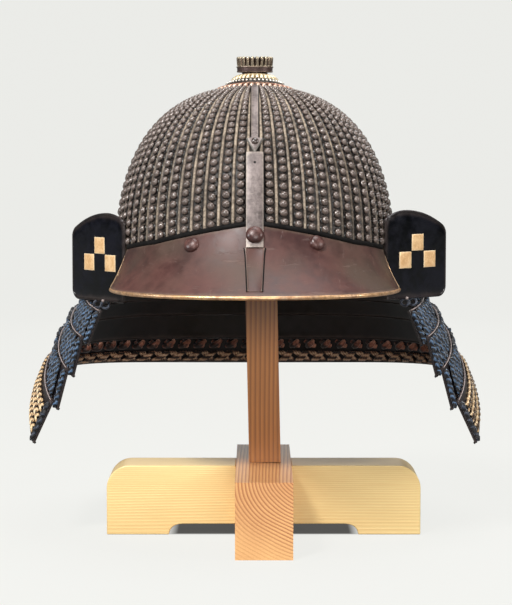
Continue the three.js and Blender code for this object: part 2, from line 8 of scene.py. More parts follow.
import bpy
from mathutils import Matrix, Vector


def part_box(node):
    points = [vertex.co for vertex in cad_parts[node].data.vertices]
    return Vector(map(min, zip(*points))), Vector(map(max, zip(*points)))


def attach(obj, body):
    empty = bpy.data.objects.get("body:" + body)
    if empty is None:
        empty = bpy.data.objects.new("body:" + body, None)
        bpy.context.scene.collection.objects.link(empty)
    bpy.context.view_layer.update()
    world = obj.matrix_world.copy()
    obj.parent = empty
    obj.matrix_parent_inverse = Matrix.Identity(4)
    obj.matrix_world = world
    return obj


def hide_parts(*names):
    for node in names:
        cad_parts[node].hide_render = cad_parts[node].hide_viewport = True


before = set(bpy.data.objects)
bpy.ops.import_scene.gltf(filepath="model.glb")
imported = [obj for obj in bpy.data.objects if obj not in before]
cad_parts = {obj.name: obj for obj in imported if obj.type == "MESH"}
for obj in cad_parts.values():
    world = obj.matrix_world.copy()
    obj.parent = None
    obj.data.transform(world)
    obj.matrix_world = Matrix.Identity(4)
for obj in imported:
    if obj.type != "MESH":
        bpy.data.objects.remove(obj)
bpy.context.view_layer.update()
print("solid pieces:", len(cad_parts))

# %% What we need from Python and Blender
import bisect
import math
import random
from collections import namedtuple

import bmesh
import bpy
from mathutils import Quaternion, Vector

print("Blender", bpy.app.version_string)

# %% The helmet's own frame
# The maker's sizes are in millimetres from the middle of the stand's cross rail.
MM = 0.001
TURN = 2 * math.pi
QUARTER_TURN = TURN / 4
rail_low, rail_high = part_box("cross_rail")
RAIL_MIDDLE_Y = (rail_low.y + rail_high.y) / 2


def in_frame(point):
    return (point[0] * MM, point[1] * MM + RAIL_MIDDLE_Y, point[2] * MM)


def mix(a, b, share):
    return a + (b - a) * share


def clamp(value, low=0.0, high=1.0):
    return max(low, min(high, value))


print("middle of the rail at y =", round(RAIL_MIDDLE_Y, 4))

# %% [markdown]
# ## Camera, light and floor
# A helmet like this is shown on a pale floor that sweeps up into a pale wall, under broad soft lamps. We
# could light it with a picture of a studio, but a few round lamps and a plain grey world are easier to
# steer. The camera is a long lens, a little above the visor, looking slightly down.

# %% Camera
CAMERA_AT = Vector((0.0011, -2.0706, 0.3828))
LOOKS_DOWN = math.radians(4.485)
LENS = 128.3

camera_data = bpy.data.cameras.new("camera")
camera_data.sensor_width = 36
camera_data.lens = LENS
camera = bpy.data.objects.new("camera", camera_data)
camera.location = CAMERA_AT
camera.rotation_euler = (QUARTER_TURN - LOOKS_DOWN, 0, 0)
bpy.context.scene.collection.objects.link(camera)
bpy.context.scene.camera = camera
print("camera at", [round(v, 3) for v in CAMERA_AT])

# %% Lamps
# The key lamp draws the shine on the studs. The low lamp behind draws a thin light along the tops of the
# timbers, and isn't seen itself.


def soft_lamp(name, place, aim, size, power, tint=(1, 1, 1)):
    data = bpy.data.lights.new(name, "AREA")
    data.shape = "DISK"
    data.size = size
    data.energy = power
    data.color = tint
    lamp = bpy.data.objects.new(name, data)
    lamp.location = place
    lamp.rotation_euler = (Vector(aim) - Vector(place)).to_track_quat("-Z", "Y").to_euler()
    bpy.context.scene.collection.objects.link(lamp)
    return lamp


soft_lamp("key_lamp", (-0.9, -1.6, 2.1), (0, 0, 0.2), 0.5, 66, (1.0, 0.99, 0.97))
soft_lamp("top_lamp", (0.3, 0.0, 2.3), (0, 0.05, 0.2), 1.4, 26)
soft_lamp("left_lamp", (-2.0, -0.9, 0.9), (0, 0, 0.3), 0.7, 18, (0.97, 0.98, 1.0))
soft_lamp("right_lamp", (2.1, -0.8, 1.0), (0, 0, 0.3), 0.7, 20, (1.0, 0.98, 0.96))
soft_lamp("front_lamp", (0.4, -2.9, 0.8), (0, 0, 0.08), 1.5, 34, (1.0, 0.98, 0.95))
soft_lamp("back_lamp", (0.6, 2.2, 1.8), (0, 0.1, 0.25), 1.2, 10)
low_lamp = soft_lamp("low_lamp", (0.0, 2.3, 0.50), (0, 0, 0.06), 1.0, 1.5, (1.0, 0.93, 0.88))
low_lamp.visible_camera = False
print("lamps:", [thing.name for thing in bpy.data.objects if thing.type == "LIGHT"])

# %% [markdown]
# ### Short ways to write nodes
# The world, the floor and every finish are made of nodes. Written out one by one they take many lines that
# say little, so a small class adds a node, sets or links its inputs, and hands back its outputs. The air
# around is the first to use it: it is pale to look at, but gives hardly any light.

# %% Nodes of one tree


class Nodes:
    """Writes nodes into one tree. A value may be a number, a vector or another node's output."""

    def __init__(self, tree):
        self.tree = tree

    def feed(self, value, socket):
        if isinstance(value, bpy.types.NodeSocket):
            self.tree.links.new(value, socket)
        else:
            socket.default_value = value

    def add(self, kind, inputs=None, **settings):
        node = self.tree.nodes.new("ShaderNode" + kind)
        for key, value in settings.items():
            setattr(node, key, value)
        for key, value in (inputs or {}).items():
            self.feed(value, node.inputs[key])
        return node.outputs

    def math(self, operation, first, second=0.0, third=0.0):
        return self.add("Math", {0: first, 1: second, 2: third}, operation=operation)[0]

    def vector(self, operation, first, second=(0.0, 0.0, 0.0)):
        return self.add("VectorMath", {0: first, 1: second}, operation=operation)[0]

    def step(self, value, low, high, to_low=0.0, to_high=1.0, ease="SMOOTHSTEP"):
        """Goes from to_low to to_high while the value goes from low to high."""
        inputs = {"Value": value, "From Min": low, "From Max": high, "To Min": to_low, "To Max": to_high}
        return self.add("MapRange", inputs, interpolation_type=ease)["Result"]


print("node helpers ready")

# %% The air around
world = bpy.data.worlds.new("studio")
world.use_nodes = True
air, background = Nodes(world.node_tree), world.node_tree.nodes["Background"].inputs
air.feed((0.93, 0.94, 0.93, 1), background["Color"])
air.feed(air.step(air.add("LightPath")["Is Camera Ray"], 0.0, 1.0, 0.06, 0.90), background["Strength"])
bpy.context.scene.world = world
bpy.context.scene.view_settings.view_transform = "Standard"
print("world:", world.name)

# %% A finish starts here


class Finish(Nodes):
    """A material in the making: its nodes, its shader and the place of each point, in metres."""

    def __init__(self, name, roughness=0.5, metallic=0.0, specular=0.5, coat=0.0, coat_roughness=0.15):
        self.material = bpy.data.materials.new(name)
        self.material.use_nodes = True
        super().__init__(self.material.node_tree)
        self.shader = self.tree.nodes["Principled BSDF"]
        values = {"Roughness": roughness, "Metallic": metallic, "Specular IOR Level": specular,
                  "Coat Weight": coat, "Coat Roughness": coat_roughness}
        for label, value in values.items():
            self.set(label, value)
        self.place = self.add("TexCoord")["Object"]
        print("finish:", name)

    def set(self, label, value):
        self.feed(value, self.shader.inputs[label])


print("ready to mix finishes")

# %% [markdown]
# ### The floor
# The floor is a sheet of paper that bends up behind the helmet, so that no corner shows. A white floor
# under lamps turns grey where they fade, so this one is dark paper that glows a little for the eye, and
# less in what mirrors it. The low gap under the cross rail would glow too, so there a painted shadow turns
# the glow down.

# %% Floor and wall in one sweep
FLOOR_HALF, FLOOR_FRONT, WALL_Y, BEND, WALL_TOP = 6.0, -5.0, 4.0, 1.5, 4.5
BEND_STEPS = 16


def studio_sweep():
    profile = [(FLOOR_FRONT, 0.0), (WALL_Y - BEND, 0.0)]
    for n in range(1, BEND_STEPS + 1):
        turn = n / BEND_STEPS * QUARTER_TURN
        profile.append((WALL_Y - BEND + BEND * math.sin(turn), BEND - BEND * math.cos(turn)))
    profile.append((WALL_Y, WALL_TOP))
    points = [(side * FLOOR_HALF, y, z) for y, z in profile for side in (-1, 1)]
    faces = [(2 * n, 2 * n + 1, 2 * n + 3, 2 * n + 2) for n in range(len(profile) - 1)]
    mesh = bpy.data.meshes.new("studio_floor")
    mesh.from_pydata(points, [], faces)
    mesh.shade_smooth()
    floor = bpy.data.objects.new("studio_floor", mesh)
    bpy.context.scene.collection.objects.link(floor)
    return floor


floor = studio_sweep()
print("floor faces:", len(floor.data.polygons))

# %% The paper on the floor
# SHADE_MIDDLE and SHADE_HALF place the box of painted shadow under the cross rail, where the floor's glow
# drops.
SHADE_MIDDLE, SHADE_HALF = (0.0084, 0.016, 0.0), (0.0885, 0.04405, 1.0)
paper = Finish("pale_paper", roughness=0.9, specular=0.1)
paper.set("Base Color", (0.05, 0.05, 0.049, 1))
paper.set("Emission Color", (0.985, 0.99, 0.955, 1))
from_middle = paper.vector("SUBTRACT", paper.place, SHADE_MIDDLE)
in_halves = paper.vector("ABSOLUTE", paper.vector("DIVIDE", from_middle, SHADE_HALF))
parts = paper.add("SeparateXYZ", {0: in_halves})
eye_glow_and_painted_shadow = paper.step(paper.math("MAXIMUM", parts[0], parts[1]), 0.93, 1.06, 0.02, 0.76, ease="LINEAR")
ray = paper.add("LightPath")
glow = paper.math("MULTIPLY_ADD", ray["Is Camera Ray"], eye_glow_and_painted_shadow, 0.06)
glow = paper.math("MULTIPLY_ADD", ray["Is Glossy Ray"], 0.22, glow)
paper.set("Emission Strength", glow)
floor.data.materials.append(paper.material)

# %% [markdown]
# ## Tools for shaping
# Nearly every piece here is either a bent plate, a cord or a dome. A plate could be a grid with a
# Solidify modifier, but a loop of points swept along a line gives us its two faces, its edges and its
# ends at once, and it can change its section on the way. So one tool sweeps loops, and the cords use it
# too.

# %% Gather points and faces


class Form:
    """Points, faces and one number per point, its mark, gathered before they become a mesh."""

    def __init__(self):
        self.points = []
        self.faces = []
        self.marks = []


def add_loops(form, loops, caps="ladder", ring=False, marks=None):
    """Joins closed loops of points into a skin. ring joins the last loop to the first."""
    start, size = len(form.points), len(loops[0])
    for number, loop in enumerate(loops):
        form.points.extend(loop)
        form.marks.extend(marks[number] if marks else [0.0] * size)
    for i in range(len(loops) if ring else len(loops) - 1):
        here, there = start + i * size, start + (i + 1) % len(loops) * size
        for j in range(size):
            k = (j + 1) % size
            form.faces.append((here + j, here + k, there + k, there + j))
    if ring:
        return
    for base in (start, start + (len(loops) - 1) * size):
        if caps == "ladder":
            for j in range(size // 2 - 1):
                form.faces.append((base + j, base + j + 1, base + size - 2 - j, base + size - 1 - j))
        else:
            form.faces.append(tuple(range(base, base + size)))


print("sweeping tool ready")

# %% Cords


def add_cord(form, path, radius, sides=6, ring=False, flat=1.0, ups=None):
    """A round cord along a path. flat squeezes it towards the surface it lies on, along ups."""
    loops = []
    count = len(path)
    for i, point in enumerate(path):
        before = path[i - 1] if i or ring else path[0]
        after = path[(i + 1) % count] if i < count - 1 or ring else path[-1]
        along = (after - before).normalized()
        across = along.cross(ups[i] if ups else Vector((0, 0, 1)))
        if across.length < 1e-6:
            across = along.cross(Vector((0, 1, 0)))
        across.normalize()
        up = across.cross(along).normalized()
        size = radius[i] if isinstance(radius, list) else radius
        turns = [n / sides * TURN for n in range(sides)]
        loops.append([point + across * (size * math.cos(turn)) + up * (size * flat * math.sin(turn))
                      for turn in turns])
    add_loops(form, loops, caps="fan", ring=ring)


print("cord tool ready")

# %% Domes
DOME_PROFILE = ((1.0, 0.0), (0.94, 0.42), (0.68, 0.78), (0.3, 0.96))


def add_dome(form, foot, up, radius, height, sides=10, sink=0.3, profile=DOME_PROFILE, marked=0):
    """A closed dome on its foot point, sunk a little into what carries it. marked counts the lowest rings
    of points that get the mark 1."""
    turn = Vector((0, 0, 1)).rotation_difference(up)
    start = len(form.points)
    rings = [(profile[0][0], -sink / height)] + list(profile[1:])
    for share, rise in rings:
        for n in range(sides):
            angle = n / sides * TURN
            reach = share * radius
            place = Vector((math.cos(angle) * reach, math.sin(angle) * reach, rise * height))
            form.points.append(foot + turn @ place)
    form.points.append(foot + turn @ Vector((0, 0, height)))
    for ring in range(len(rings) - 1):
        for n in range(sides):
            k = (n + 1) % sides
            low, high = start + ring * sides, start + (ring + 1) * sides
            form.faces.append((low + n, low + k, high + k, high + n))
    last, tip = start + (len(rings) - 1) * sides, len(form.points) - 1
    form.faces += [(last + n, last + (n + 1) % sides, tip) for n in range(sides)]
    form.faces.append(tuple(range(start + sides - 1, start - 1, -1)))
    form.marks += [1.0] * (marked * sides) + [0.0] * (tip + 1 - start - marked * sides)


print("dome tool ready")

# %% Turn a form into a piece of the helmet


def soften_edges(piece, width):
    bevel = piece.modifiers.new("soft_edges", "BEVEL")
    bevel.width = width * MM
    bevel.segments = 2
    bevel.limit_method = "ANGLE"
    bevel.angle_limit = math.radians(40)


def make_piece(name, form, finish, stands_for=(), crease=35, bevel=0.0):
    """A mesh object that rides with the helmet and stands for the solid pieces named."""
    mesh = bpy.data.meshes.new(name)
    mesh.from_pydata([in_frame(p) for p in form.points], [], form.faces)
    shell = bmesh.new()
    shell.from_mesh(mesh)
    bmesh.ops.recalc_face_normals(shell, faces=shell.faces)
    shell.to_mesh(mesh)
    shell.free()
    mesh.attributes.new("mark", "FLOAT", "POINT").data.foreach_set("value", form.marks)
    mesh.shade_smooth()
    mesh.set_sharp_from_angle(angle=math.radians(crease))
    mesh.materials.append(finish.material)
    piece = bpy.data.objects.new(name, mesh)
    bpy.context.scene.collection.objects.link(piece)
    if bevel:
        soften_edges(piece, bevel)
    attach(piece, "root")
    if stands_for:
        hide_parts(*stands_for)
    triangles = sum(len(face) - 2 for face in form.faces)
    print(f"{name}: {triangles} triangles")
    return piece


print("piece tool ready")

# %% Bent plates


def normal_of(surface, u, v):
    step = 1e-3
    across = surface(min(u + step, 1), v) - surface(max(u - step, 0), v)
    down = surface(u, min(v + step, 1)) - surface(u, max(v - step, 0))
    return down.cross(across).normalized()


def plate_form(surface, thickness, columns, rows, trim=None):
    """A plate from its middle surface, with its upper and lower edges rounded off."""
    form, loops = Form(), []
    for i in range(columns + 1):
        face, rear = [], []
        for j in range(rows + 1):
            u, v = i / columns, j / rows
            if trim:
                u, v = trim(u, v)
            half = thickness / 2 * (0.45 if j in (0, rows) else 1.0)
            point, normal = surface(u, v), normal_of(surface, u, v)
            face.append(point + normal * half)
            rear.append(point - normal * half)
        loops.append(face + rear[::-1])
    add_loops(form, loops)
    return form


print("plate tool ready")

# %% Lines on a surface


def lifted(surface, u, v, lift):
    return surface(u, v) + normal_of(surface, u, v) * lift


def line_on(surface, count, lift, across=None, down=None, start=0.0, end=1.0):
    """A path on a surface: down it at one place across, or across it at one height."""
    path, ups = [], []
    for n in range(count + 1):
        share = mix(start, end, n / count)
        u, v = (across, share) if across is not None else (share, down)
        path.append(lifted(surface, u, v, lift))
        ups.append(normal_of(surface, u, v))
    return path, ups


print("line tool ready")

# %% [markdown]
# ## The finishes
# Old iron, lacquer, gilt, silk and pine have one thing in common: none is one flat colour. Each finish
# could be painted by hand on a picture, but here it grows from noise and from the shape itself, so it has
# no seams and is sharp at any distance. What several finishes share is made once, as a node group with
# named inputs, and each finish sets its own values.

# %% Colours, noise and blends


def srgb(colour):
    """A colour as the eye reads it, 0 to 255, as the shader wants it."""
    def straight(value):
        value /= 255
        return value / 12.92 if value <= 0.04045 else ((value + 0.055) / 1.055) ** 2.4
    return tuple(straight(value) for value in colour) + (1,)


def noise(nodes, place, scale, detail=3.0, roughness=0.55, stretch=None, out="Fac"):
    if stretch:
        place = nodes.add("Mapping", {"Vector": place, "Scale": stretch})[0]
    inputs = {"Vector": place, "Scale": scale, "Detail": detail, "Roughness": roughness}
    return nodes.add("TexNoise", inputs)[out]


def blend(nodes, share, first, second):
    """A colour between two. Each is three numbers, 0 to 255, or another node's output."""
    first, second = (srgb(value) if isinstance(value, tuple) else value for value in (first, second))
    return nodes.add("Mix", {0: share, 6: first, 7: second}, data_type="RGBA")[2]


print("a brown:", [round(value, 3) for value in srgb((92, 80, 71))])

# %% Named inputs and outputs of a group


def new_group(name, inputs, outputs):
    """An input without a default is a place. Every output is a plain number."""
    tree = bpy.data.node_groups.new(name, "ShaderNodeTree")
    for label, default in inputs.items():
        kind = "NodeSocketVector" if default is None else "NodeSocketFloat"
        socket = tree.interface.new_socket(name=label, in_out="INPUT", socket_type=kind)
        if default is not None:
            socket.default_value = default
    for label in outputs:
        tree.interface.new_socket(name=label, in_out="OUTPUT", socket_type="NodeSocketFloat")
    print("group:", name)
    return Nodes(tree), tree.nodes.new("NodeGroupInput").outputs, tree.nodes.new("NodeGroupOutput").inputs


def use_group(nodes, group, inputs):
    return nodes.add("Group", inputs, node_tree=group.tree)


print("group helpers ready")

# %% [markdown]
# ### Effects that several finishes share
# Mottling is the slow change of colour in lacquer and old gilding. Edge wear finds the corners where a
# hand or a cloth rubs. Hammering gives iron its small dents and scratches. Wood is a tree: rings round a
# pith, stretched along the trunk, so that one group gives end grain and long grain by itself. Each could
# be written out in every finish, but a node group is made once, and a change to it reaches all of them.

# %% Mottling
mottling, given, made = new_group("mottling", {"Place": None, "Size": 20.0, "Contrast": 0.5}, ["Mask"])
broad = noise(mottling, given["Place"], given["Size"], 4.0)
fine = noise(mottling, given["Place"], mottling.math("MULTIPLY", given["Size"], 6.3))
both = mottling.math("MULTIPLY_ADD", fine, 0.35, mottling.math("MULTIPLY", broad, 0.65))
low_edge = mottling.math("MULTIPLY_ADD", given["Contrast"], 0.22, 0.22)
high_edge = mottling.math("MULTIPLY_ADD", given["Contrast"], -0.22, 0.78)
mottling.feed(mottling.step(both, low_edge, high_edge), made["Mask"])


def mottled(finish, size, contrast):
    inputs = {"Place": finish.place, "Size": size, "Contrast": contrast}
    return use_group(finish, mottling, inputs)["Mask"]


# %% Edge wear
edge_wear, given, made = new_group("edge_wear", {"Place": None, "Amount": 0.5, "Breaks": 120.0}, ["Mask"])
sharpness = edge_wear.add("NewGeometry")["Pointiness"]
broken = noise(edge_wear, given["Place"], given["Breaks"], 4.0)
raised = edge_wear.math("MULTIPLY_ADD", broken, 0.06, edge_wear.math("SUBTRACT", sharpness, 0.03))
rubbed = edge_wear.step(raised, 0.52, 0.60)
edge_wear.feed(edge_wear.math("MULTIPLY", rubbed, given["Amount"]), made["Mask"])


def worn(finish, amount, breaks):
    return use_group(finish, edge_wear, {"Place": finish.place, "Amount": amount, "Breaks": breaks})["Mask"]


# %% Hammered and scratched iron
hammering, given, made = new_group(
    "hammering", {"Place": None, "Dents": 90.0, "Scratches": 60.0}, ["Height", "Scratch mask"])
dents = noise(hammering, given["Place"], given["Dents"], 2.0)
lines = noise(hammering, given["Place"], given["Scratches"], 5.0, 0.7, stretch=(1.0, 1.0, 9.0))
other_lines = noise(hammering, given["Place"], given["Scratches"], 5.0, 0.7, stretch=(7.0, 2.0, 1.0))
thin, other_thin = hammering.step(lines, 0.60, 0.68), hammering.step(other_lines, 0.62, 0.70)
scratch = hammering.math("MAXIMUM", thin, other_thin)
hammering.feed(hammering.math("MULTIPLY_ADD", scratch, -0.35, dents), made["Height"])
hammering.feed(scratch, made["Scratch mask"])


def hammered(finish, dents, scratches, share):
    """The height of the iron, and how strongly a scratch shows."""
    made = use_group(finish, hammering, {"Place": finish.place, "Dents": dents, "Scratches": scratches})
    return made["Height"], finish.math("MULTIPLY", made["Scratch mask"], share)


# %% Wood
wood, given, made = new_group(
    "wood", {"Place": None, "Rings per metre": 500.0, "Waviness": 0.004},
    ["Late wood", "Fibre", "Knots", "From pith"])
along_trunk = wood.add("Mapping", {"Vector": given["Place"], "Scale": (1.0, 1.0, 0.12)})[0]
sway = noise(wood, along_trunk, 9.0, 2.0, 0.5, out="Color")
shift = wood.add("VectorMath", {0: wood.vector("SUBTRACT", sway, (0.5, 0.5, 0.5)),
                                "Scale": wood.math("MULTIPLY", given["Waviness"], 2.0)}, operation="SCALE")[0]
parts = wood.add("SeparateXYZ", {0: wood.vector("ADD", along_trunk, shift)})
squared = wood.math("MULTIPLY_ADD", parts[0], parts[0], wood.math("MULTIPLY", parts[1], parts[1]))
from_pith = wood.math("SQRT", squared)
wood.feed(from_pith, made["From pith"])
ring = wood.math("FRACT", wood.math("MULTIPLY", from_pith, given["Rings per metre"]))
wood.feed(wood.math("SUBTRACT", wood.step(ring, 0.25, 0.86), wood.step(ring, 0.9, 1.0)), made["Late wood"])
wood.feed(noise(wood, given["Place"], 900.0, 3.0, 0.6, stretch=(1.0, 1.0, 0.03)), made["Fibre"])
wood.feed(noise(wood, given["Place"], 14.0, 2.0, 0.5, stretch=(1.0, 1.0, 0.2)), made["Knots"])

# %% [markdown]
# ### Iron
# The bowl is russet iron under a thin lacquer: warm grey-brown plates, pale worn ridges, and darker studs
# that catch the light. A mask painted by hand could say where a ridge is, but each mesh already keeps a
# mark at every point, so the finish reads that.

# %% What iron and lacquer share


def read_mark(finish):
    return finish.add("Attribute", attribute_name="mark")["Fac"]


def set_roughness(finish, mask, low, high):
    finish.set("Roughness", finish.step(mask, 0.0, 1.0, low, high))


def set_bump(finish, height, distance, strength=0.5):
    inputs = {"Height": height, "Distance": distance, "Strength": strength}
    finish.set("Normal", finish.add("Bump", inputs)["Normal"])


print("ready for iron")

# %% Russet iron of the plates
russet_plates = iron = Finish("russet_iron_plates", specular=0.22)
mottle = mottled(iron, 38.0, 0.6)
height, scratch = hammered(iron, 160.0, 45.0, 0.25)
colour = blend(iron, mottle, (38, 31, 28), (92, 80, 71))
colour = blend(iron, scratch, colour, (150, 135, 122))
set_roughness(iron, mottle, 0.38, 0.56)
set_bump(iron, height, 0.0006, 0.6)

# %% Its hollows in painted shade, and its pale ridges
# A hollow is marked 0.14 and a ridge 1. The ridges are palest near the middle line, at the front and the
# back, and less pale at the sides.
HOLLOW_MARK = 0.14
# Painted shade: the hollow beside each ridge is darkened nearly to black.
off_hollow = iron.math("ABSOLUTE", iron.math("SUBTRACT", read_mark(iron), HOLLOW_MARK))
colour = blend(iron, iron.step(off_hollow, 0.0, HOLLOW_MARK, 0.85, 0.0), colour, (8, 6, 6))
from_middle = iron.math("ABSOLUTE", iron.add("SeparateXYZ", {0: iron.place})[0])
at_front = iron.step(from_middle, 0.02, 0.10, 1.0, 0.45)
ridge = iron.math("MULTIPLY", iron.step(read_mark(iron), 0.45, 0.9), at_front)
ridge = iron.math("MULTIPLY", ridge, iron.step(mottle, 0.0, 1.0, 0.4, 0.95))
uneven = iron.step(noise(iron, iron.place, 420.0, 4.0), 0.38, 0.62, 0.35, 1.0)
ridge = iron.math("MULTIPLY", ridge, uneven)
iron.set("Base Color", blend(iron, ridge, colour, (184, 168, 148)))
print("plates: nodes", len(iron.tree.nodes))

# %% Russet iron of the studs
# Round the foot of each stud, marked 1, is painted shadow: nearly black, and without the coat's shine.
russet_studs = iron = Finish("russet_iron_studs", metallic=0.1, coat=1.0, coat_roughness=0.12)
mottle = mottled(iron, 60.0, 0.5)
colour = blend(iron, mottle, (30, 16, 15), (60, 41, 37))
# Pale stud tips: wear, and in part a painted highlight on top of each stud.
colour = blend(iron, worn(iron, 0.5, 300.0), colour, (150, 134, 124))
painted_foot_shadow = iron.step(read_mark(iron), 0.1, 0.7)
iron.set("Base Color", blend(iron, painted_foot_shadow, colour, (7, 5, 5)))
iron.set("Coat Weight", iron.step(painted_foot_shadow, 0.0, 0.5, 1.0, 0.0))
set_roughness(iron, mottle, 0.2, 0.36)
set_bump(iron, noise(iron, iron.place, 700.0), 0.0002)

# %% Rivets
rivet_iron = iron = Finish("russet_rivets", metallic=0.1, coat=0.2, coat_roughness=0.3)
mottle = mottled(iron, 110.0, 0.6)
iron.set("Base Color", blend(iron, mottle, (52, 30, 29), (96, 62, 56)))
set_roughness(iron, mottle, 0.3, 0.5)
set_bump(iron, noise(iron, iron.place, 500.0), 0.0002)

# %% Worn grey iron of the front strip
grey_strip = iron = Finish("worn_grey_iron", roughness=0.46, metallic=0.2)
height, scratch = hammered(iron, 300.0, 120.0, 0.45)
colour = blend(iron, mottled(iron, 55.0, 0.6), (78, 68, 66), (132, 120, 117))
colour = blend(iron, scratch, colour, (176, 166, 158))
iron.set("Base Color", blend(iron, worn(iron, 0.8, 220.0), colour, (160, 148, 138)))
set_bump(iron, height, 0.0004, 0.6)

# %% [markdown]
# ### Lacquer
# The visor's lacquer is red-brown and half dull, and has aged to a greyer brown in places. The wings are a
# glossy black, and the lames are a duller brown-black. All could be one finish with three colours, but each
# has aged in its own way, so each mixes the shared effects for itself.

# %% Russet lacquer of the visor
russet_visor = lacquer = Finish("russet_visor_lacquer", specular=0.4, coat=0.12, coat_roughness=0.3)
mottle = mottled(lacquer, 16.0, 0.5)
height, scratch = hammered(lacquer, 70.0, 26.0, 0.2)
colour = blend(lacquer, mottle, (50, 26, 25), (84, 50, 44))
aged = lacquer.step(noise(lacquer, lacquer.place, 9.0, 2.0), 0.40, 0.62, 0.0, 0.75)
colour = blend(lacquer, aged, colour, (76, 64, 54))
colour = blend(lacquer, scratch, colour, (128, 104, 94))
lacquer.set("Base Color", blend(lacquer, worn(lacquer, 0.5, 150.0), colour, (120, 102, 88)))
set_roughness(lacquer, mottle, 0.42, 0.58)
set_bump(lacquer, height, 0.0009)

# %% Black lacquer of the wings
black_lacquer = lacquer = Finish("black_lacquer", specular=0.28, coat=0.12, coat_roughness=0.08)
mottle = mottled(lacquer, 24.0, 0.7)
colour = blend(lacquer, mottle, (6, 7, 10), (16, 17, 26))
# Rubbed edges: wear, and in part a painted highlight for the thin pale line on the wings' rims.
lacquer.set("Base Color", blend(lacquer, worn(lacquer, 0.35, 90.0), colour, (92, 80, 76)))
set_roughness(lacquer, mottle, 0.12, 0.26)
set_bump(lacquer, noise(lacquer, lacquer.place, 60.0, 2.0), 0.0006, 0.35)

# %% Brown-black lacquer of the lames
guard_lacquer = lacquer = Finish("brown_black_lacquer", specular=0.36)
mottle = mottled(lacquer, 18.0, 0.5)
colour = blend(lacquer, mottle, (8, 8, 11), (32, 27, 31))
lacquer.set("Base Color", blend(lacquer, worn(lacquer, 0.6, 120.0), colour, (86, 74, 70)))
set_roughness(lacquer, mottle, 0.3, 0.46)
set_bump(lacquer, noise(lacquer, lacquer.place, 45.0), 0.0008, 0.4)

# %% [markdown]
# ### Gilding and copper
# The crown rings, the visor's rim and the squares on the wings are gold, copper, silver or bronze, and a
# few thin parts are black. Each could be mixed for itself, but they differ only in three colours, their
# gloss and their grain, so one function makes them all. It paints shade into the grooves that the mesh has
# marked.

# %% Gilding


def gilding(name, dark, light, rubbed, roughness=0.36, grain=260.0, metallic=0.7):
    finish = Finish(name, metallic=metallic)
    mottle = mottled(finish, grain / 3, 0.6)
    colour = blend(finish, worn(finish, 0.6, grain), blend(finish, mottle, dark, light), rubbed)
    # Painted shade: the marked grooves between petals and flutes turn dark brown.
    groove = finish.step(read_mark(finish), 0.25, 0.8, 0.0, 0.92)
    finish.set("Base Color", blend(finish, groove, colour, (44, 26, 21)))
    set_roughness(finish, mottle, roughness + 0.14, roughness)
    set_bump(finish, noise(finish, finish.place, grain * 3), 0.0002)
    return finish


gilt_leaf = gilding("gilt_leaf", (218, 172, 118), (250, 212, 160), (255, 236, 200), 0.45, metallic=0.3)
gilt_rim = gilding("gilt_copper_rim", (142, 92, 60), (228, 176, 122), (252, 234, 200), 0.3)
pale_gold = gilding("pale_gold", (206, 178, 130), (246, 228, 188), (252, 240, 214))
# The collar's bright rubbed colour is wear on the flutes, and in part a painted highlight.
collar_gold = gilding("darkened_collar_gold", (46, 36, 32), (116, 97, 80), (250, 236, 204), 0.22, 420.0)
worn_copper = gilding("worn_copper", (150, 92, 72), (222, 178, 154), (252, 228, 206), 0.34)
dark_bronze = gilding("dark_bronze", (58, 46, 44), (96, 78, 74), (150, 134, 118), 0.4)
black_ring = gilding("blackened_silver", (26, 24, 24), (56, 52, 50), (120, 116, 110), 0.4)
# Near-black: thin black parts, and painted shadow in the visor's top corner, round its tongue and in the pin
# hole.
painted_shadow_and_black_iron = gilding("painted_shadow_and_black_iron", (4, 4, 4), (12, 11, 11), (34, 31, 30), 0.75)
silver = gilding("silver_beads", (150, 146, 138), (226, 222, 210), (250, 248, 240), 0.25, 500.0)

# %% [markdown]
# ### Silk
# Silk lacing is plaited, so light runs along it in short slanting strokes, with a dark gap between two of
# them. Modelling every thread would take millions of faces. The mesh keeps, as its mark, how far along the
# braid each point is, and the finish turns that into painted highlights on strokes and painted shade in the
# gaps.

# %% Silk


def silk(name, dark, light, gleam, strokes):
    """strokes is how fast they follow each other, in radians to the metre."""
    finish = Finish(name, roughness=0.55, specular=0.4)
    finish.set("Sheen Weight", 0.3)
    finish.set("Sheen Roughness", 0.4)
    run = finish.math("MULTIPLY", read_mark(finish), strokes)
    wobble = finish.math("MULTIPLY_ADD", noise(finish, finish.place, 260.0), 2.4, run)
    stroke = finish.math("MULTIPLY_ADD", finish.math("SINE", wobble), 0.5, 0.5)
    fibre = noise(finish, finish.place, 1500.0, 2.0)
    colour = blend(finish, mottled(finish, 70.0, 0.6), dark, light)
    # Painted highlight: the gleam colour along each stroke.
    painted_gleam = finish.step(finish.math("MULTIPLY", stroke, fibre), 0.22, 0.62)
    colour = blend(finish, painted_gleam, colour, gleam)
    # Painted shade: nearly black in the gap between two strokes.
    gap = finish.step(stroke, 0.0, 0.5, 0.95, 0.0)
    finish.set("Base Color", blend(finish, gap, colour, (10, 9, 12)))
    set_bump(finish, finish.math("MULTIPLY_ADD", fibre, 0.4, stroke), 0.0005, 0.8)
    return finish


blue_silk = silk("blue_silk", (7, 10, 16), (24, 34, 50), (88, 118, 152), 1100.0)
tan_silk = silk("tan_gold_silk", (132, 96, 62), (206, 168, 118), (246, 224, 184), 900.0)
rust_silk = silk("rust_silk", (112, 64, 50), (176, 112, 90), (206, 150, 126), 420.0)
brown_silk = silk("brown_twisted_silk", (84, 54, 40), (154, 110, 84), (234, 194, 160), 1100.0)
dark_silk = silk("dark_silk", (6, 7, 9), (16, 19, 25), (60, 68, 84), 900.0)
pale_edge = silk("pale_leather_edge", (64, 56, 58), (118, 104, 104), (176, 160, 156), 700.0)

# %% [markdown]
# ### Pine
# The three timbers come from three parts of a trunk: the rail is pale with fine rings, the beam shows its
# end grain, and the post is redder. A flat picture of grain would not meet round a corner. So each timber
# is cut from the same tree of rings, turned and moved until the right part of it lies in the timber.

# %% Pine


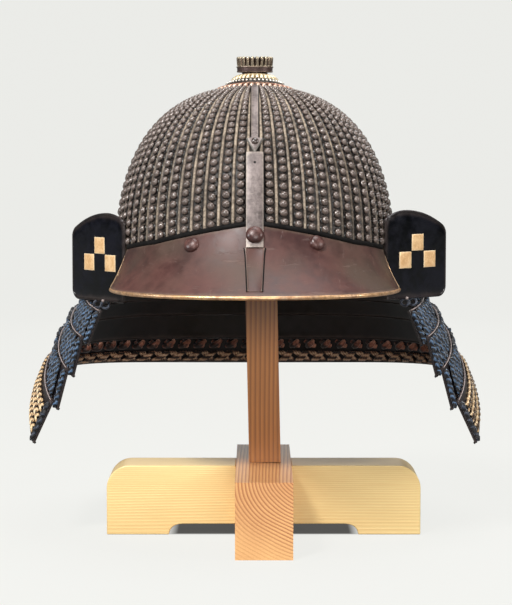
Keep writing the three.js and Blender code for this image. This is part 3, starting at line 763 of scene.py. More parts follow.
def pine(name, trunk_turn, pith, early, late, rings, strength, near=0.0, far=1.0):
    """trunk_turn turns the trunk's line to +Z, and pith moves the tree's middle there. The rings fade from
    near to far metres off it."""
    finish = Finish(name, roughness=0.42, specular=0.4, coat=0.35, coat_roughness=0.22)
    place = {"Vector": finish.place, "Location": pith, "Rotation": trunk_turn}
    inputs = {"Place": finish.add("Mapping", place)[0], "Rings per metre": rings, "Waviness": 0.011}
    grain = use_group(finish, wood, inputs)
    fading = finish.step(grain["From pith"], near, far, strength, 0.06)
    colour = blend(finish, finish.math("MULTIPLY", grain["Late wood"], fading), early, late)
    colour = blend(finish, finish.step(grain["Fibre"], 0.35, 0.75, 0.0, 0.22), colour, late)
    colour = blend(finish, finish.step(grain["Knots"], 0.35, 0.75, 0.0, 0.35), colour, late)
    finish.set("Base Color", blend(finish, worn(finish, 0.25, 200.0), colour, early))
    set_bump(finish, finish.math("MULTIPLY_ADD", grain["Fibre"], 0.5, grain["Late wood"]), 0.0002)
    return finish


rail_pine = pine("pale_pine", (0, QUARTER_TURN, 0), (0.03, 0.10, 0), (255, 226, 160), (234, 184, 116),
                 rings=620.0, strength=0.3)
beam_pine = pine("end_grain_pine", (QUARTER_TURN, 0, 0), (-0.0464, 0.0765, 0), (246, 190, 126), (150, 66, 30),
                 rings=330.0, strength=1.0, near=0.055, far=0.09)
post_pine = pine("red_pine", (0, 0, 0), (0.06, 0.04, 0), (186, 120, 56), (104, 56, 22),
                 rings=215.0, strength=0.85)
print("finishes:", len(bpy.data.materials))

# %% [markdown]
# ## The bowl
# The bowl is built from 62 tapered iron plates. One edge of each plate is turned up, so a thin ridge runs
# down every seam, and a column of small studs stands between two ridges. We could sculpt this, or array
# one plate, but the dome is wider from front to back and leans a little, so every plate differs. Instead
# one rule gives a point of the dome from an angle round it and a distance walked up it.

# %% How far up the dome
DOME_WIDE, DOME_LONG, DOME_HIGH = 130.0, 143.0, 168.0
DOME_ROUND = 2.47
POWER = 2 / DOME_ROUND
CLIMB_STEP = 0.001


def walk_up_the_dome():
    radius = (DOME_WIDE + DOME_LONG) / 2
    walked, last, climb = [0.0], (radius, 0.0), CLIMB_STEP
    while climb < QUARTER_TURN:
        here = (radius * math.cos(climb) ** POWER, DOME_HIGH * math.sin(climb) ** POWER)
        walked.append(walked[-1] + math.dist(here, last))
        last = here
        climb += CLIMB_STEP
    return walked


def climb_after(distance):
    after = bisect.bisect_left(CLIMB, distance)
    if after >= len(CLIMB):
        return QUARTER_TURN
    if after == 0:
        return 0.0
    share = (distance - CLIMB[after - 1]) / (CLIMB[after] - CLIMB[after - 1])
    return (after - 1 + share) * CLIMB_STEP


CLIMB = walk_up_the_dome()
TO_CROWN = CLIMB[-1]
print("from rim to crown:", round(TO_CROWN, 1), "mm")

# %% Points of the dome
DOME_CENTRE_Y, DOME_BASE = -2.0, 256.5
LEAN_ANGLE = math.radians(9.25)
LEAN = Quaternion((1, 0, 0), -LEAN_ANGLE)
BROW_RISE, BROW_REACH, NAPE_RISE = 13.0, 88.0, 10.0


def leaned(x, y, z):
    return LEAN @ Vector((x, y, z)) + Vector((0, DOME_CENTRE_Y, DOME_BASE))


def rim_rise(azimuth):
    """The rim arches over the brow and is cut a little higher over the nape."""
    if math.cos(azimuth) > 0:
        return BROW_RISE * max(0.0, 1 - abs(DOME_WIDE * math.sin(azimuth)) / BROW_REACH)
    return NAPE_RISE * math.cos(azimuth) ** 2


def bowl_point(azimuth, up, lift=0.0):
    """azimuth runs from the front towards +X, up is the distance walked from the rim."""
    climb = climb_after(up + rim_rise(azimuth) * max(0.0, 1 - up / TO_CROWN))
    spread, rise = math.cos(climb) ** POWER, math.sin(climb) ** POWER
    x, y = DOME_WIDE * spread * math.sin(azimuth), -DOME_LONG * spread * math.cos(azimuth)
    flat = spread ** (DOME_ROUND - 2)
    out = Vector((flat * x / DOME_WIDE ** 2, flat * y / DOME_LONG ** 2, rise ** (DOME_ROUND - 1) / DOME_HIGH))
    out.normalize()
    return leaned(x + out.x * lift, y + out.y * lift, DOME_HIGH * rise + out.z * lift)


def bowl_normal(azimuth, up):
    return (bowl_point(azimuth, up, 1.0) - bowl_point(azimuth, up)).normalized()


print("rim at the brow:", [round(v, 1) for v in bowl_point(0, 0)])

# %% Where a plate lies
PLATES, CROWN_HOLE = 62, 13.0
PLATES_TOP = TO_CROWN - CROWN_HOLE


def plate_width(up):
    return DOME_WIDE * math.cos(climb_after(up)) ** POWER * TURN / PLATES


def plate_azimuth(plate, share):
    return (plate - 0.5 + share) / PLATES * TURN


print("width of a plate at the rim and at the top:", [round(plate_width(up), 1) for up in (0, PLATES_TOP)])

# %% Lines down a plate
# Across a plate come half of one ridge, the hollow beside it, the plate's middle, and so to the next ridge.
# Each line has its distance from a ridge in halves of a ridge, its height and its mark.
ACROSS_PLATE = ((0.0, 1.0, 1.0), (0.8, 0.75, 0.9), (1.7, 0.05, HOLLOW_MARK), (None, 0.45, 0.0),
                (-1.7, 0.05, HOLLOW_MARK), (-0.8, 0.75, 0.9))
RIDGE_HEIGHT, RIDGE_HALF, RIDGE_SHARE = 1.4, 1.05, 0.13
RIDGES_SINK_FROM, RIDGES_SINK_OVER = 180.0, 60.0
OUTSIDE_ROWS, INSIDE_ROWS, BOWL_WALL = 62, 10, 2.0


def outside_line(plate, along, height, mark):
    points, marks = [], []
    for row in range(OUTSIDE_ROWS + 1):
        up = mix(PLATES_TOP, 0.0, row / OUTSIDE_ROWS)
        half = min(RIDGE_HALF / plate_width(up), RIDGE_SHARE)
        share = 0.5 if along is None else along * half % 1.0
        near_crown = clamp((up - RIDGES_SINK_FROM) / RIDGES_SINK_OVER)
        fade = clamp(row / 3) * mix(1.0, 0.65, near_crown)
        lift = RIDGE_HEIGHT * height * fade * (0.5 if row == OUTSIDE_ROWS else 1.0)
        points.append(bowl_point(plate_azimuth(plate, share), up, lift))
        marks.append(mark * fade)
    return points, marks


def inside_line(plate, along):
    azimuth = plate_azimuth(plate, 0.5 if along is None else along * 0.07 % 1.0)
    return [bowl_point(azimuth, mix(0.0, PLATES_TOP, row / INSIDE_ROWS), -BOWL_WALL)
            for row in range(INSIDE_ROWS + 1)]


print("lines down the bowl:", PLATES * len(ACROSS_PLATE))

# %% Plates and ridges


def bowl_plates():
    form, loops, marks = Form(), [], []
    for plate in range(PLATES):
        for along, height, mark in ACROSS_PLATE:
            outside, outside_marks = outside_line(plate, along, height, mark)
            inside = inside_line(plate, along)
            loops.append(outside + inside)
            marks.append(outside_marks + [0.0] * len(inside))
    add_loops(form, loops, ring=True, marks=marks)
    return form


make_piece("bowl_plates", bowl_plates(), russet_plates, ["bowl"], crease=50)

# %% Studs
# Each stud is set by hand, so none stands quite in line. The lowest rings of its profile are a skirt round
# its foot, marked for painted shadow.
STUD_FOOT, STUD_TOP_GAP, STUD_HEIGHT, TOP_STUD_HEIGHT = 12.0, 47.0, 4.2, 1.7
STUD_GAP, STUD_GAP_LOSS = 8.6, 5.2
STUD_PROFILE = ((1.24, 0.0), (1.1, 0.07), (0.96, 0.12), (1.0, 0.34), (0.80, 0.66), (0.40, 0.92))
PAINTED_SHADOW_RINGS = 3


def stud_rows():
    """How far up each row stands, and its distance to the next. The rows draw together towards the crown."""
    foot, rows = STUD_FOOT, []
    while foot < TO_CROWN - STUD_TOP_GAP:
        gap = STUD_GAP - STUD_GAP_LOSS * (foot / TO_CROWN) ** 2.2
        rows.append((foot + gap / 2, gap))
        foot += gap
    return rows


def studs():
    form, hand = Form(), random.Random(62)
    for up, gap in stud_rows():
        radius = min(gap * 0.43, plate_width(up) * 0.35)
        height = mix(TOP_STUD_HEIGHT, STUD_HEIGHT, clamp((gap - 3.5) / 4.0))
        for plate in range(1, PLATES):
            azimuth = (plate + hand.uniform(-0.03, 0.03)) / PLATES * TURN
            place = up + hand.uniform(-0.15, 0.15)
            add_dome(form, bowl_point(azimuth, place, 0.3), bowl_normal(azimuth, place), radius, height,
                     profile=STUD_PROFILE, marked=PAINTED_SHADOW_RINGS)
    return form


make_piece("bowl_studs", studs(), russet_studs, crease=60)
print("studs:", len(stud_rows()) * (PLATES - 1))

# %% [markdown]
# ## The crown ornament
# Five turned and chased rings stand round the hole in the crown. A lathe shape alone would be too plain,
# and carving each petal would be slow. So each ring is a lathe profile swept round with a wave in it:
# petals for the copper and gilt rings, flutes for the collar.

# %% Petalled and fluted rings


def waved_ring(profile, petals=24, depth=0.0, groove=0.0, sides_per_petal=6, sharp=False):
    """profile lists (radius, height, how much of the wave it takes)."""
    form, loops, marks = Form(), [], []
    for n in range(petals * sides_per_petal):
        angle = n / (petals * sides_per_petal) * TURN
        wave = 1 - abs(math.sin(n / sides_per_petal * math.pi)) ** (1 if sharp else 0.6)
        loop = []
        for radius, height, share in profile:
            reach = radius * (1 - depth * share * wave)
            low = height - groove * share * wave
            loop.append(Vector((math.sin(angle) * reach, -math.cos(angle) * reach, low)))
        loops.append(loop)
        marks.append([share * wave for _, _, share in profile])
    add_loops(form, loops, ring=True, marks=marks)
    return form


def stand_form(form, turn, place):
    form.points = [turn @ point + place for point in form.points]
    return form


def on_dome(form):
    return stand_form(form, LEAN, leaned(0, 0, DOME_HIGH))


print("ring tool ready")

# %% Copper petals, bead plate and gilt petals
copper = [(14, 1.8, 0), (26, 1.6, 0), (37.4, -3.2, 0.5), (38.8, -3.2, 1), (39.3, -2.4, 1), (39.3, 0.9, 1),
          (38.2, 2.0, 1), (35, 3.1, 0.9), (30.5, 4.4, 0.4), (28, 4.7, 0), (14, 4.7, 0)]
make_piece("crown_copper_petals_chased", on_dome(waved_ring(copper, 40, 0.05, 0.8, 8, sharp=True)),
           worn_copper, ["crown_copper_petals"], crease=50)
bead_plate = [(14, 5, 0), (29.2, 4.7, 0), (29.6, 5.2, 0), (29.1, 5.8, 0), (26, 8.3, 0), (24.4, 9.3, 0),
              (14, 9.6, 0)]
make_piece("crown_bead_plate", on_dome(waved_ring(bead_plate)), black_ring,
           ["crown_bead_ring"], crease=40)
gilt = [(14, 10, 0), (21.5, 9.9, 0), (22.9, 10.5, 1), (23.0, 11.8, 1), (21.6, 13.4, 0.8), (19.2, 15.0, 0.3),
        (17, 15.5, 0), (14, 15.5, 0)]
make_piece("crown_gilt_petals_chased", on_dome(waved_ring(gilt, 30, 0.08, 1.1)), pale_gold,
           ["crown_gilt_petals"], crease=50)

# %% Silver beads
BEADS, BEAD_REACH, BEAD_Z = 44, 27.2, 7.2


def beads():
    form = Form()
    for n in range(BEADS):
        angle = n / BEADS * TURN
        out = Vector((math.sin(angle), -math.cos(angle), 0))
        foot = out * BEAD_REACH + Vector((0, 0, BEAD_Z))
        add_dome(form, foot, (out + Vector((0, 0, 1))).normalized(), 1.3, 1.5, sides=9, sink=0.4)
    return on_dome(form)


make_piece("crown_beads", beads(), silver, crease=70)

# %% Dark band and fluted collar
# The two top rings stand upright, although the dome below them leans.
BAND_Z, COLLAR_Z = 441.5, 447.4


def upright(form, height):
    return stand_form(form, Quaternion(), Vector((0, leaned(0, 0, DOME_HIGH + 10).y, height)))


band = [(11.2, -8.5, 0), (12.2, -8.5, 0), (12.3, -0.1, 0), (16.9, -0.1, 0), (17.5, 0.3, 0), (17.5, 0.8, 0),
        (17.1, 1.1, 0), (17.2, 4.2, 0), (17.9, 4.6, 0), (17.8, 5.5, 0), (11.2, 5.5, 0)]
make_piece("crown_dark_band", upright(waved_ring(band), BAND_Z), dark_bronze,
           ["crown_band"], crease=40)
collar = [(12.2, 0, 0), (16.9, 0.1, 0.6), (17.3, 1.2, 1), (17.7, 6.6, 1), (17.7, 8.0, 1), (16.9, 8.9, 1),
          (15.0, 9.0, 1), (13.2, 7.6, 0.4), (12.4, 4.0, 0)]
make_piece("crown_fluted_collar", upright(waved_ring(collar, 22, 0.13, 1.6, 8), COLLAR_Z), collar_gold,
           ["crown_collar"], crease=60)

# %% [markdown]
# ## The visor
# The visor is one hammered plate. Its top edge follows the bowl, and its lower edge is a wide, nearly
# level curve. A flat sheet could be bent with a modifier, but both edges are known, so we stretch the plate
# from one to the other and hollow it a little. A gilt bead is crimped over the lower edge, three rivets
# hold the plate, and a black cord in the corner where it meets the bowl is painted shadow.

# %% The visor's surface
VISOR_TURN = math.radians(62.5)
VISOR_PLATE, VISOR_UP, VISOR_LIFT = 1.8, 9.0, 2.5
RIM_HALF_WIDE, RIM_ENDS_Y, RIM_DEEP, RIM_Z, RIM_ROUND = 133.0, -68.0, 117.0, 240.0, 2.2
VISOR_SAG = 20.0


def visor_rim_point(u):
    turn, power = (u * 2 - 1) * QUARTER_TURN, 2 / RIM_ROUND
    x = math.copysign(abs(math.sin(turn)) ** power, math.sin(turn)) * RIM_HALF_WIDE
    return Vector((x, RIM_ENDS_Y - RIM_DEEP * math.cos(turn) ** power, RIM_Z))


def visor_surface(u, v):
    top = bowl_point((u * 2 - 1) * VISOR_TURN, VISOR_UP, VISOR_LIFT)
    sag = VISOR_SAG * v * (1 - v)
    return top.lerp(visor_rim_point(u), v) + Vector((0, 0.8 * sag, -0.5 * sag))


make_piece("visor_hammered", plate_form(visor_surface, VISOR_PLATE, 120, 18), russet_visor,
           ["visor"], crease=50)

# %% The gilt bead along its edge
BEAD = 1.9


def spaced(first, last, count):
    """Evenly spaced values from first to last, with both ends."""
    return [mix(first, last, n / count) for n in range(count + 1)]


def visor_bead():
    form, path, sizes = Form(), [], []
    for u in spaced(0, 1, 150):
        edge = visor_surface(u, 1)
        out = (edge - visor_surface(u, 0.9)).normalized()
        path.append(edge + out * (BEAD - 0.4))
        sizes.append(BEAD * mix(0.72, 1.0, clamp(math.sin(u * math.pi) * 1.6)))
    add_cord(form, path, sizes, sides=10)
    for side in (0.0, 1.0):
        path, ups = line_on(visor_surface, 30, 0.0, across=side, start=0.16)
        add_cord(form, path, spaced(1.1, 1.7, 30), sides=8, ups=ups)
    return form


make_piece("visor_gilt_bead", visor_bead(), gilt_rim, ["visor_rim"], crease=60)

# %% Rivets
RIVET_PROFILE = ((1.0, 0.0), (0.99, 0.16), (0.93, 0.42), (0.80, 0.66), (0.6, 0.84), (0.32, 0.96))
RIVET_X = 51.0


def rivet(name, radius, across, down, lift, node):
    form = Form()
    foot = lifted(visor_surface, across, down, lift)
    add_dome(form, foot, normal_of(visor_surface, across, down), radius, radius * 0.62, sides=28,
             profile=RIVET_PROFILE)
    make_piece(name, form, rivet_iron, [node], crease=60)


for name, side, down in (("left", -1, 0.16), ("right", 1, 0.13)):
    across = 0.5 + side * math.asin(RIVET_X / DOME_WIDE) / (2 * VISOR_TURN)
    rivet(f"side_rivet_{name}", 7.4, across, down, 1.2, f"visor_rivet_{name}")
rivet("centre_rivet", 8.0, 0.5, 0.14, 3.4, "visor_rivet_centre")

# %% The painted shadow along its top
# A black cord in the corner between visor and bowl: painted shadow.
top_shadow = Form()
path, ups = line_on(visor_surface, 110, 0.4, down=-0.03)
add_cord(top_shadow, path, 2.8, sides=8, ups=ups)
make_piece("visor_top_painted_shadow", top_shadow, painted_shadow_and_black_iron, crease=60)

# %% [markdown]
# ## The front strip
# A narrow strip runs down the front from the crown ornament and ends in an arrow head with one stud. Below
# it a wider plate covers the first seam and carries the centre rivet, and a tapering tongue goes on down
# the visor. Three boxes would not follow the dome, so all three are bands: a section swept along a line of
# stations. A thin dark cord lies along both edges of each band; round the tongue these cords are painted
# shade for the groove that outlines it.

# %% Bands
BAND_LIFT = 1.8


def band_form(stations, section):
    """stations: (point, normal, half width). section: (across, up) pairs, from -1 to 1 across."""
    form, loops = Form(), []
    for point, normal, half in stations:
        loops.append([point + Vector((across * half, 0, 0)) + normal * up for across, up in section])
    add_loops(form, loops, caps="fan")
    return form


def add_side_cords(form, stations, radius):
    for side in (-1, 1):
        path = [point + Vector((side * half, 0, 0)) for point, _, half in stations]
        add_cord(form, path, radius, ups=[normal for _, normal, _ in stations])


def on_bowl(up, lift, half):
    return (bowl_point(0, up, lift), bowl_normal(0, up), half)


def on_visor(down, lift, half):
    return (lifted(visor_surface, 0.5, down, lift), normal_of(visor_surface, 0.5, down), half)


print("band tool ready")

# %% The strip and its arrow head
STRIP_TOP, STRIP_END, STRIP_HALF = 202.0, 97.0, 3.1
SHOULDER_UP, SHOULDER_HALF = 96.5, 6.2
ARROW_UP, ARROW_TIP, ARROW_HALF = 95.6, 82.0, 7.0
STRIP_SECTION = [(-1, 0), (1, 0), (1, 1.0), (0.72, 1.4), (0.2, 1.5), (-0.2, 1.5), (-0.72, 1.4), (-1, 1.0)]

stations = [on_bowl(up, BAND_LIFT, STRIP_HALF) for up in spaced(STRIP_TOP, STRIP_END, 40)]
stations.append(on_bowl(SHOULDER_UP, BAND_LIFT, SHOULDER_HALF))
for share in spaced(0, 1, 8):
    stations.append(on_bowl(mix(ARROW_UP, ARROW_TIP, share), BAND_LIFT, mix(ARROW_HALF, 0.5, share)))
make_piece("front_strip_arrow", band_form(stations, STRIP_SECTION), grey_strip,
           ["front_strip"], crease=35)

# %% The arrow's black border and its stud
ARROW_STUD_UP = 92.4
border, arrow_stud = Form(), Form()
stations = [on_bowl(mix(96.2, 81.0, share), 2.6, mix(7.4, 0.0, share)) for share in spaced(0, 1, 8)]
add_side_cords(border, stations, 0.8)
make_piece("front_arrow_border", border, black_ring, crease=60)
add_dome(arrow_stud, bowl_point(0, ARROW_STUD_UP, 3.1), bowl_normal(0, ARROW_STUD_UP), 3.4, 2.9, sides=20,
         profile=RIVET_PROFILE)
make_piece("front_arrow_stud", arrow_stud, russet_studs, crease=60)

# %% The plate under the arrow
# It stands further off the bowl towards its foot, where it goes over the visor's top edge.
FRONT_PLATE_TOP, FRONT_PLATE_HALF = 81.0, 7.75
FRONT_PLATE_SECTION = [(-1, 0), (1, 0), (1, 0.9), (0.84, 1.4), (0.3, 1.55), (-0.3, 1.55), (-0.84, 1.4),
                       (-1, 0.9)]

stations = []
for share in spaced(0, 1, 24):
    lift = mix(BAND_LIFT, 3.9, clamp((share - 0.25) / 0.75) ** 1.5)
    stations.append(on_bowl(mix(FRONT_PLATE_TOP, 9, share), lift, FRONT_PLATE_HALF))
stations += [on_visor(down, 1.5, FRONT_PLATE_HALF) for down in (0.13, 0.18, 0.24, 0.3)]
make_piece("front_plate_iron", band_form(stations, FRONT_PLATE_SECTION), grey_strip,
           ["front_plate"], crease=35)

# %% Dark edges of the strip and the plate
# The plate also has a small pin hole, shown by a low dark dome of painted shade.
edges = Form()
add_side_cords(edges, [on_bowl(up, 2.0, 3.5) for up in spaced(STRIP_TOP, STRIP_END, 30)], 0.6)
add_side_cords(edges, [on_bowl(mix(FRONT_PLATE_TOP, 12, share), mix(2.2, 3.6, share ** 2), 8.2)
                       for share in spaced(0, 1, 30)], 0.6)
add_dome(edges, bowl_point(0, 70, 3.2), bowl_normal(0, 70), 1.3, 0.35, sides=12)
make_piece("front_dark_edges", edges, painted_shadow_and_black_iron, crease=60)

# %% The tongue on the visor
TONGUE_TOP, TONGUE_END = 0.3, 0.93
TONGUE_SECTION = [(-1, 0), (1, 0), (1, 0.75), (0.86, 0.95), (0.72, 0.45), (0.0, 0.6), (-0.72, 0.45),
                  (-0.86, 0.95), (-1, 0.75)]

downs = [(mix(TONGUE_TOP, TONGUE_END, share), share) for share in spaced(0, 1, 14)]
stations = [on_visor(down, 0.8, mix(9.0, 6.6, share)) for down, share in downs]
make_piece("visor_tongue", band_form(stations, TONGUE_SECTION), russet_visor, crease=30)
# The dark cords round the tongue are painted shade for the groove that outlines it.
edges = Form()
add_side_cords(edges, [on_visor(down, 1.1, mix(9.4, 6.8, share ** 0.6)) for down, share in downs], 0.75)
make_piece("visor_tongue_groove_shade", edges, painted_shadow_and_black_iron, crease=60)

# %% [markdown]
# ## The waist band
# A plain black band runs round the foot of the bowl behind the visor and carries the neck guard. We could
# sweep it again with a finer section, but it is hardly seen and the solid already has the right shape. So it
# only gets its lacquer.

# %% Lacquer on the waist band


def finish_solid(node, finish, edge):
    """Gives a solid piece that stays as it is its finish, and takes the hardness off its edges."""
    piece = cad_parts[node]
    piece.data.materials.clear()
    piece.data.materials.append(finish.material)
    soften_edges(piece, edge)
    print(node, "is finished in", finish.material.name)


finish_solid("waist_band", black_lacquer, 0.4)

# %% [markdown]
# ## The wings
# Each wing is the front end of the top lame, turned back and lacquered black, with a thin raised rim. Three
# gilt squares are set corner to corner on it, a common pattern of paving stones. Bending a flat plate with a
# modifier would stretch it at the fold, so the plate follows a line in plan that is bent round there.

# %% The wing in plan
FOLD_X, FOLD_Y, FOLD_EASE, WING_LENGTH, RETURN_LEG = 120.5, -62.5, 4.0, 81.0, 17.0
RETURN_TURN = math.radians(66)
WINGS = {
    "left": {"side": -1, "turn": math.radians(49), "raise": 0.0, "squares_from": 21.0},
    "right": {"side": 1, "turn": math.radians(41.5), "raise": 3.0, "squares_from": 26.0},
}


def wing_plan(walk, turn):
    """walk is the distance from the fold, less than 0 on the short leg that goes back to the lame."""
    if abs(walk) < FOLD_EASE:
        before, after = wing_plan(-FOLD_EASE, turn), wing_plan(FOLD_EASE, turn)
        share = (walk + FOLD_EASE) / (2 * FOLD_EASE)
        corner = Vector((FOLD_X, FOLD_Y))
        return before.lerp(corner, share).lerp(corner.lerp(after, share), share)
    heading = turn if walk > 0 else RETURN_TURN
    return Vector((FOLD_X, FOLD_Y)) + Vector((math.cos(heading), math.sin(heading))) * abs(walk)


print("wings:", list(WINGS))

# %% The wing's outline
WING_FOOT, INNER_TOP, APEX, APEX_AT, OUTER_TOP = 226.0, 299.0, 307.0, 26.0, 290.0
TOP_CORNER, FOOT_CORNER = 5.0, 9.0


def corner_drop(walk, radius):
    """How far a round corner at the wing's free end takes the edge off its line."""
    into = walk - (WING_LENGTH - radius)
    return radius - math.sqrt(max(0.0, radius * radius - into * into)) if into > 0 else 0.0


def wing_top(walk):
    if walk < 0:
        return INNER_TOP
    reach, end = (APEX_AT, INNER_TOP) if walk < APEX_AT else (WING_LENGTH - APEX_AT, OUTER_TOP)
    return APEX - (APEX - end) * ((walk - APEX_AT) / reach) ** 2 - corner_drop(walk, TOP_CORNER)


print("top of a wing at its free end:", round(wing_top(WING_LENGTH), 1), "mm")

# %% The wing's plate and rim
WING_PLATE, WING_RIM, BELLY = 2.0, 1.35, 1.2
TOWARDS_US = Vector((0, -1, 0.01))


def wing_surface(wing):
    def surface(u, v):
        share = u if wing["side"] > 0 else 1 - u
        walk = mix(-RETURN_LEG, WING_LENGTH, math.sin(share * QUARTER_TURN) ** 0.8 if share > 0 else 0.0)
        plan = wing_plan(walk, wing["turn"])
        belly = BELLY * math.sin(clamp((walk - 2) / WING_LENGTH) * math.pi)
        z = wing["raise"] + mix(wing_top(walk), WING_FOOT + corner_drop(walk, FOOT_CORNER), v)
        return Vector((wing["side"] * (plan.x + belly * 0.6), plan.y - belly * 0.6, z))
    return surface


def wing_form(wing):
    surface = wing_surface(wing)
    form = plate_form(surface, WING_PLATE, 60, 16)
    outer = 1.0 if wing["side"] > 0 else 0.0
    rim = [surface(u, 0.0) for u in spaced(1 - outer, outer, 60)]
    rim += [surface(outer, v) for v in spaced(0, 1, 16)[1:]]
    rim += [surface(u, 1.0) for u in spaced(outer, 1 - outer, 60)[1:]]
    add_cord(form, rim, WING_RIM, sides=8, ups=[TOWARDS_US] * len(rim))
    return form


for name, wing in WINGS.items():
    make_piece(f"wing_{name}_lacquered", wing_form(wing), black_lacquer, [f"wing_{name}"],
               crease=45)

# %% Gilt squares
# Each tile is a little pillow: its sides rise straight and its face is rounded off towards them.
SQUARE_SIDE, SQUARE_STEP, SQUARE_LOW = 15.6, 16.2, 261.3
TILE_PROFILE = ((1.0, 0.0), (1.9, 0.0), (2.25, 0.12), (2.4, 0.5), (2.45, 2.0))
SQUARES = {"inner": (0, 0), "top": (1, 1), "outer": (2, 0)}


def square_tile(wing, along, up):
    turn, side = wing["turn"], wing["side"]
    plan = wing_plan(wing["squares_from"] + SQUARE_STEP * along, turn)
    out = Vector((math.sin(turn) * side, -math.cos(turn), 0))
    across = Vector((math.cos(turn) * side, math.sin(turn), 0))
    centre = Vector((side * plan.x, plan.y, wing["raise"] + SQUARE_LOW + SQUARE_STEP * up))
    form, loops = Form(), []
    for lift, inset in TILE_PROFILE:
        half = SQUARE_SIDE / 2 - inset
        loops.append([centre + out * lift + across * (half * a) + Vector((0, 0, half * b))
                      for a, b in ((-1, -1), (1, -1), (1, 1), (-1, 1))])
    add_loops(form, loops, caps="fan")
    return form


for name, wing in WINGS.items():
    for where, (along, up) in SQUARES.items():
        make_piece(f"gilt_square_{name}_{where}", square_tile(wing, along, up), gilt_leaf,
                   [f"wing_{name}_square_{where}"], crease=30)

# %% [markdown]
# ## The neck guard
# Five lames hang one below the other, each outside the one above. On the real guard every lame is a row
# of small scales laced together, and close-set braids of blue silk tie it to the next. Hanging cloth would
# need a simulation, but this lacing is held tight all the way, so we lay each braid on its lame with a
# rule: so far round, so far down, so high off the plate.

# %% The feet of the lames
Foot = namedtuple("Foot", "wide deep nape_z front_z front_y arch")
LAME_FEET = [
    Foot(158.0, 129.0, 230.0, 210.0, -18.0, 0.0),
    Foot(172.5, 141.0, 212.0, 186.0, -57.0, 0.0),
    Foot(184.5, 153.0, 194.5, 156.0, -57.0, 2.0),
    Foot(197.5, 165.0, 169.0, 125.0, -57.0, 5.0),
    Foot(215.0, 177.0, 143.0, 93.6, -57.0, 8.0),
]
GUARD_CENTRE_Y, GUARD_FRONT_Y = 20.0, -57.0


def foot_height(number, y):
    """A foot rises from its front ends to the nape, and arches a little on the way."""
    foot = LAME_FEET[number]
    nape_y = GUARD_CENTRE_Y + foot.deep
    forward = max(0.0, nape_y - y) / (nape_y - GUARD_FRONT_Y)
    arch = foot.arch * 4 * forward * (1 - forward)
    return foot.nape_z + arch - (foot.nape_z - foot.front_z) * forward ** 1.9


def guard_line(wide, deep, centre_y, fullness, front_y, height):
    """A line from the +X front end round the nape to the -X front end."""
    power = 2 / fullness
    front_turn = math.pi - math.acos(abs((front_y - centre_y) / deep) ** (1 / power))

    def line(u):
        turn = (1 - u * 2) * front_turn
        x = math.copysign(abs(math.sin(turn)) ** power, math.sin(turn)) * wide
        y = centre_y + math.copysign(abs(math.cos(turn)) ** power, math.cos(turn)) * deep
        return Vector((x, y, height(y)))
    return line


print("foot of the lowest lame at the front:", round(foot_height(4, GUARD_FRONT_Y), 1), "mm")

# %% The lames' surfaces
# The first lame hangs from the waist band. Each later one starts a little outside the foot above it, and
# laps up over it.
GUARD_ROUND, LOWEST_ROUND, TUCK, LAP = 2.5, 2.85, 3.8, 8.0
HEAD_WIDE, HEAD_DEEP, HEAD_ROUND, HEAD_FRONT_Y, HEAD_ABOVE = 138.0, 148.5, 2.05, -38.0, 6.0


def first_head_height(y):
    from_centre = y - DOME_CENTRE_Y
    rise = NAPE_RISE * max(0.0, from_centre / DOME_LONG) ** 2
    return DOME_BASE + HEAD_ABOVE - from_centre * math.tan(LEAN_ANGLE) + rise


def lame_surface(number):
    own = LAME_FEET[number]
    fullness = LOWEST_ROUND if number == 4 else GUARD_ROUND
    foot = guard_line(own.wide, own.deep, GUARD_CENTRE_Y, fullness, own.front_y,
                      lambda y: foot_height(number, y))
    if number == 0:
        head = guard_line(HEAD_WIDE, HEAD_DEEP, DOME_CENTRE_Y, HEAD_ROUND, HEAD_FRONT_Y, first_head_height)
    else:
        above = LAME_FEET[number - 1]
        head = guard_line(above.wide + TUCK, above.deep + TUCK, GUARD_CENTRE_Y, GUARD_ROUND, own.front_y,
                          lambda y: foot_height(number - 1, y) + LAP)
    return lambda u, v: head(u).lerp(foot(u), v)


print("the lowest lame at the nape:", [round(v, 1) for v in lame_surface(4)(0.5, 1)])

# %% Even places round a lame
WALK_STEPS = 600


def even_stations(surface, v, spacing):
    """Places round a lame, spacing millimetres apart, as shares u."""
    walked = [0.0]
    for n in range(WALK_STEPS):
        step = surface((n + 1) / WALK_STEPS, v) - surface(n / WALK_STEPS, v)
        walked.append(walked[-1] + step.length)
    count = int(walked[-1] / spacing)
    stations = []
    for n in range(count):
        goal = (n + 0.5) * walked[-1] / count
        after = bisect.bisect_left(walked, goal)
        share = (goal - walked[after - 1]) / (walked[after] - walked[after - 1])
        stations.append((after - 1 + share) / WALK_STEPS)
    return stations


print("round the lowest lame:", len(even_stations(lame_surface(4), 1, 10)) * 10, "mm")

# %% Lames with the heads of their scales
SCALE, SCALLOP, LAME_PLATE = 11.0, 0.07, 1.6


def scalloped(surface):
    count = len(even_stations(surface, 0, SCALE))

    def trim(u, v):
        tooth = abs(math.sin(u * count * math.pi)) ** 0.5
        return u, v + (1 - v) ** 6 * SCALLOP * (1 - tooth)
    return trim


for number in range(5):
    surface = lame_surface(number)
    form = plate_form(surface, LAME_PLATE, 300, 7, trim=scalloped(surface) if number else None)
    make_piece(f"lame_{number + 1}_scales", form, guard_lacquer, [f"lame_{number + 1}"],
               crease=50)

# %% Rims and head lines of the lames


def lame_rims(number):
    form, surface = Form(), lame_surface(number)
    for across in (0.0, 1.0):
        path, ups = line_on(surface, 16, 0.0, across=across)
        add_cord(form, path, 1.5, sides=8, ups=ups)
    path, ups = line_on(surface, 200, 0.0, down=1.0)
    add_cord(form, path, 1.15, ups=ups)
    return form


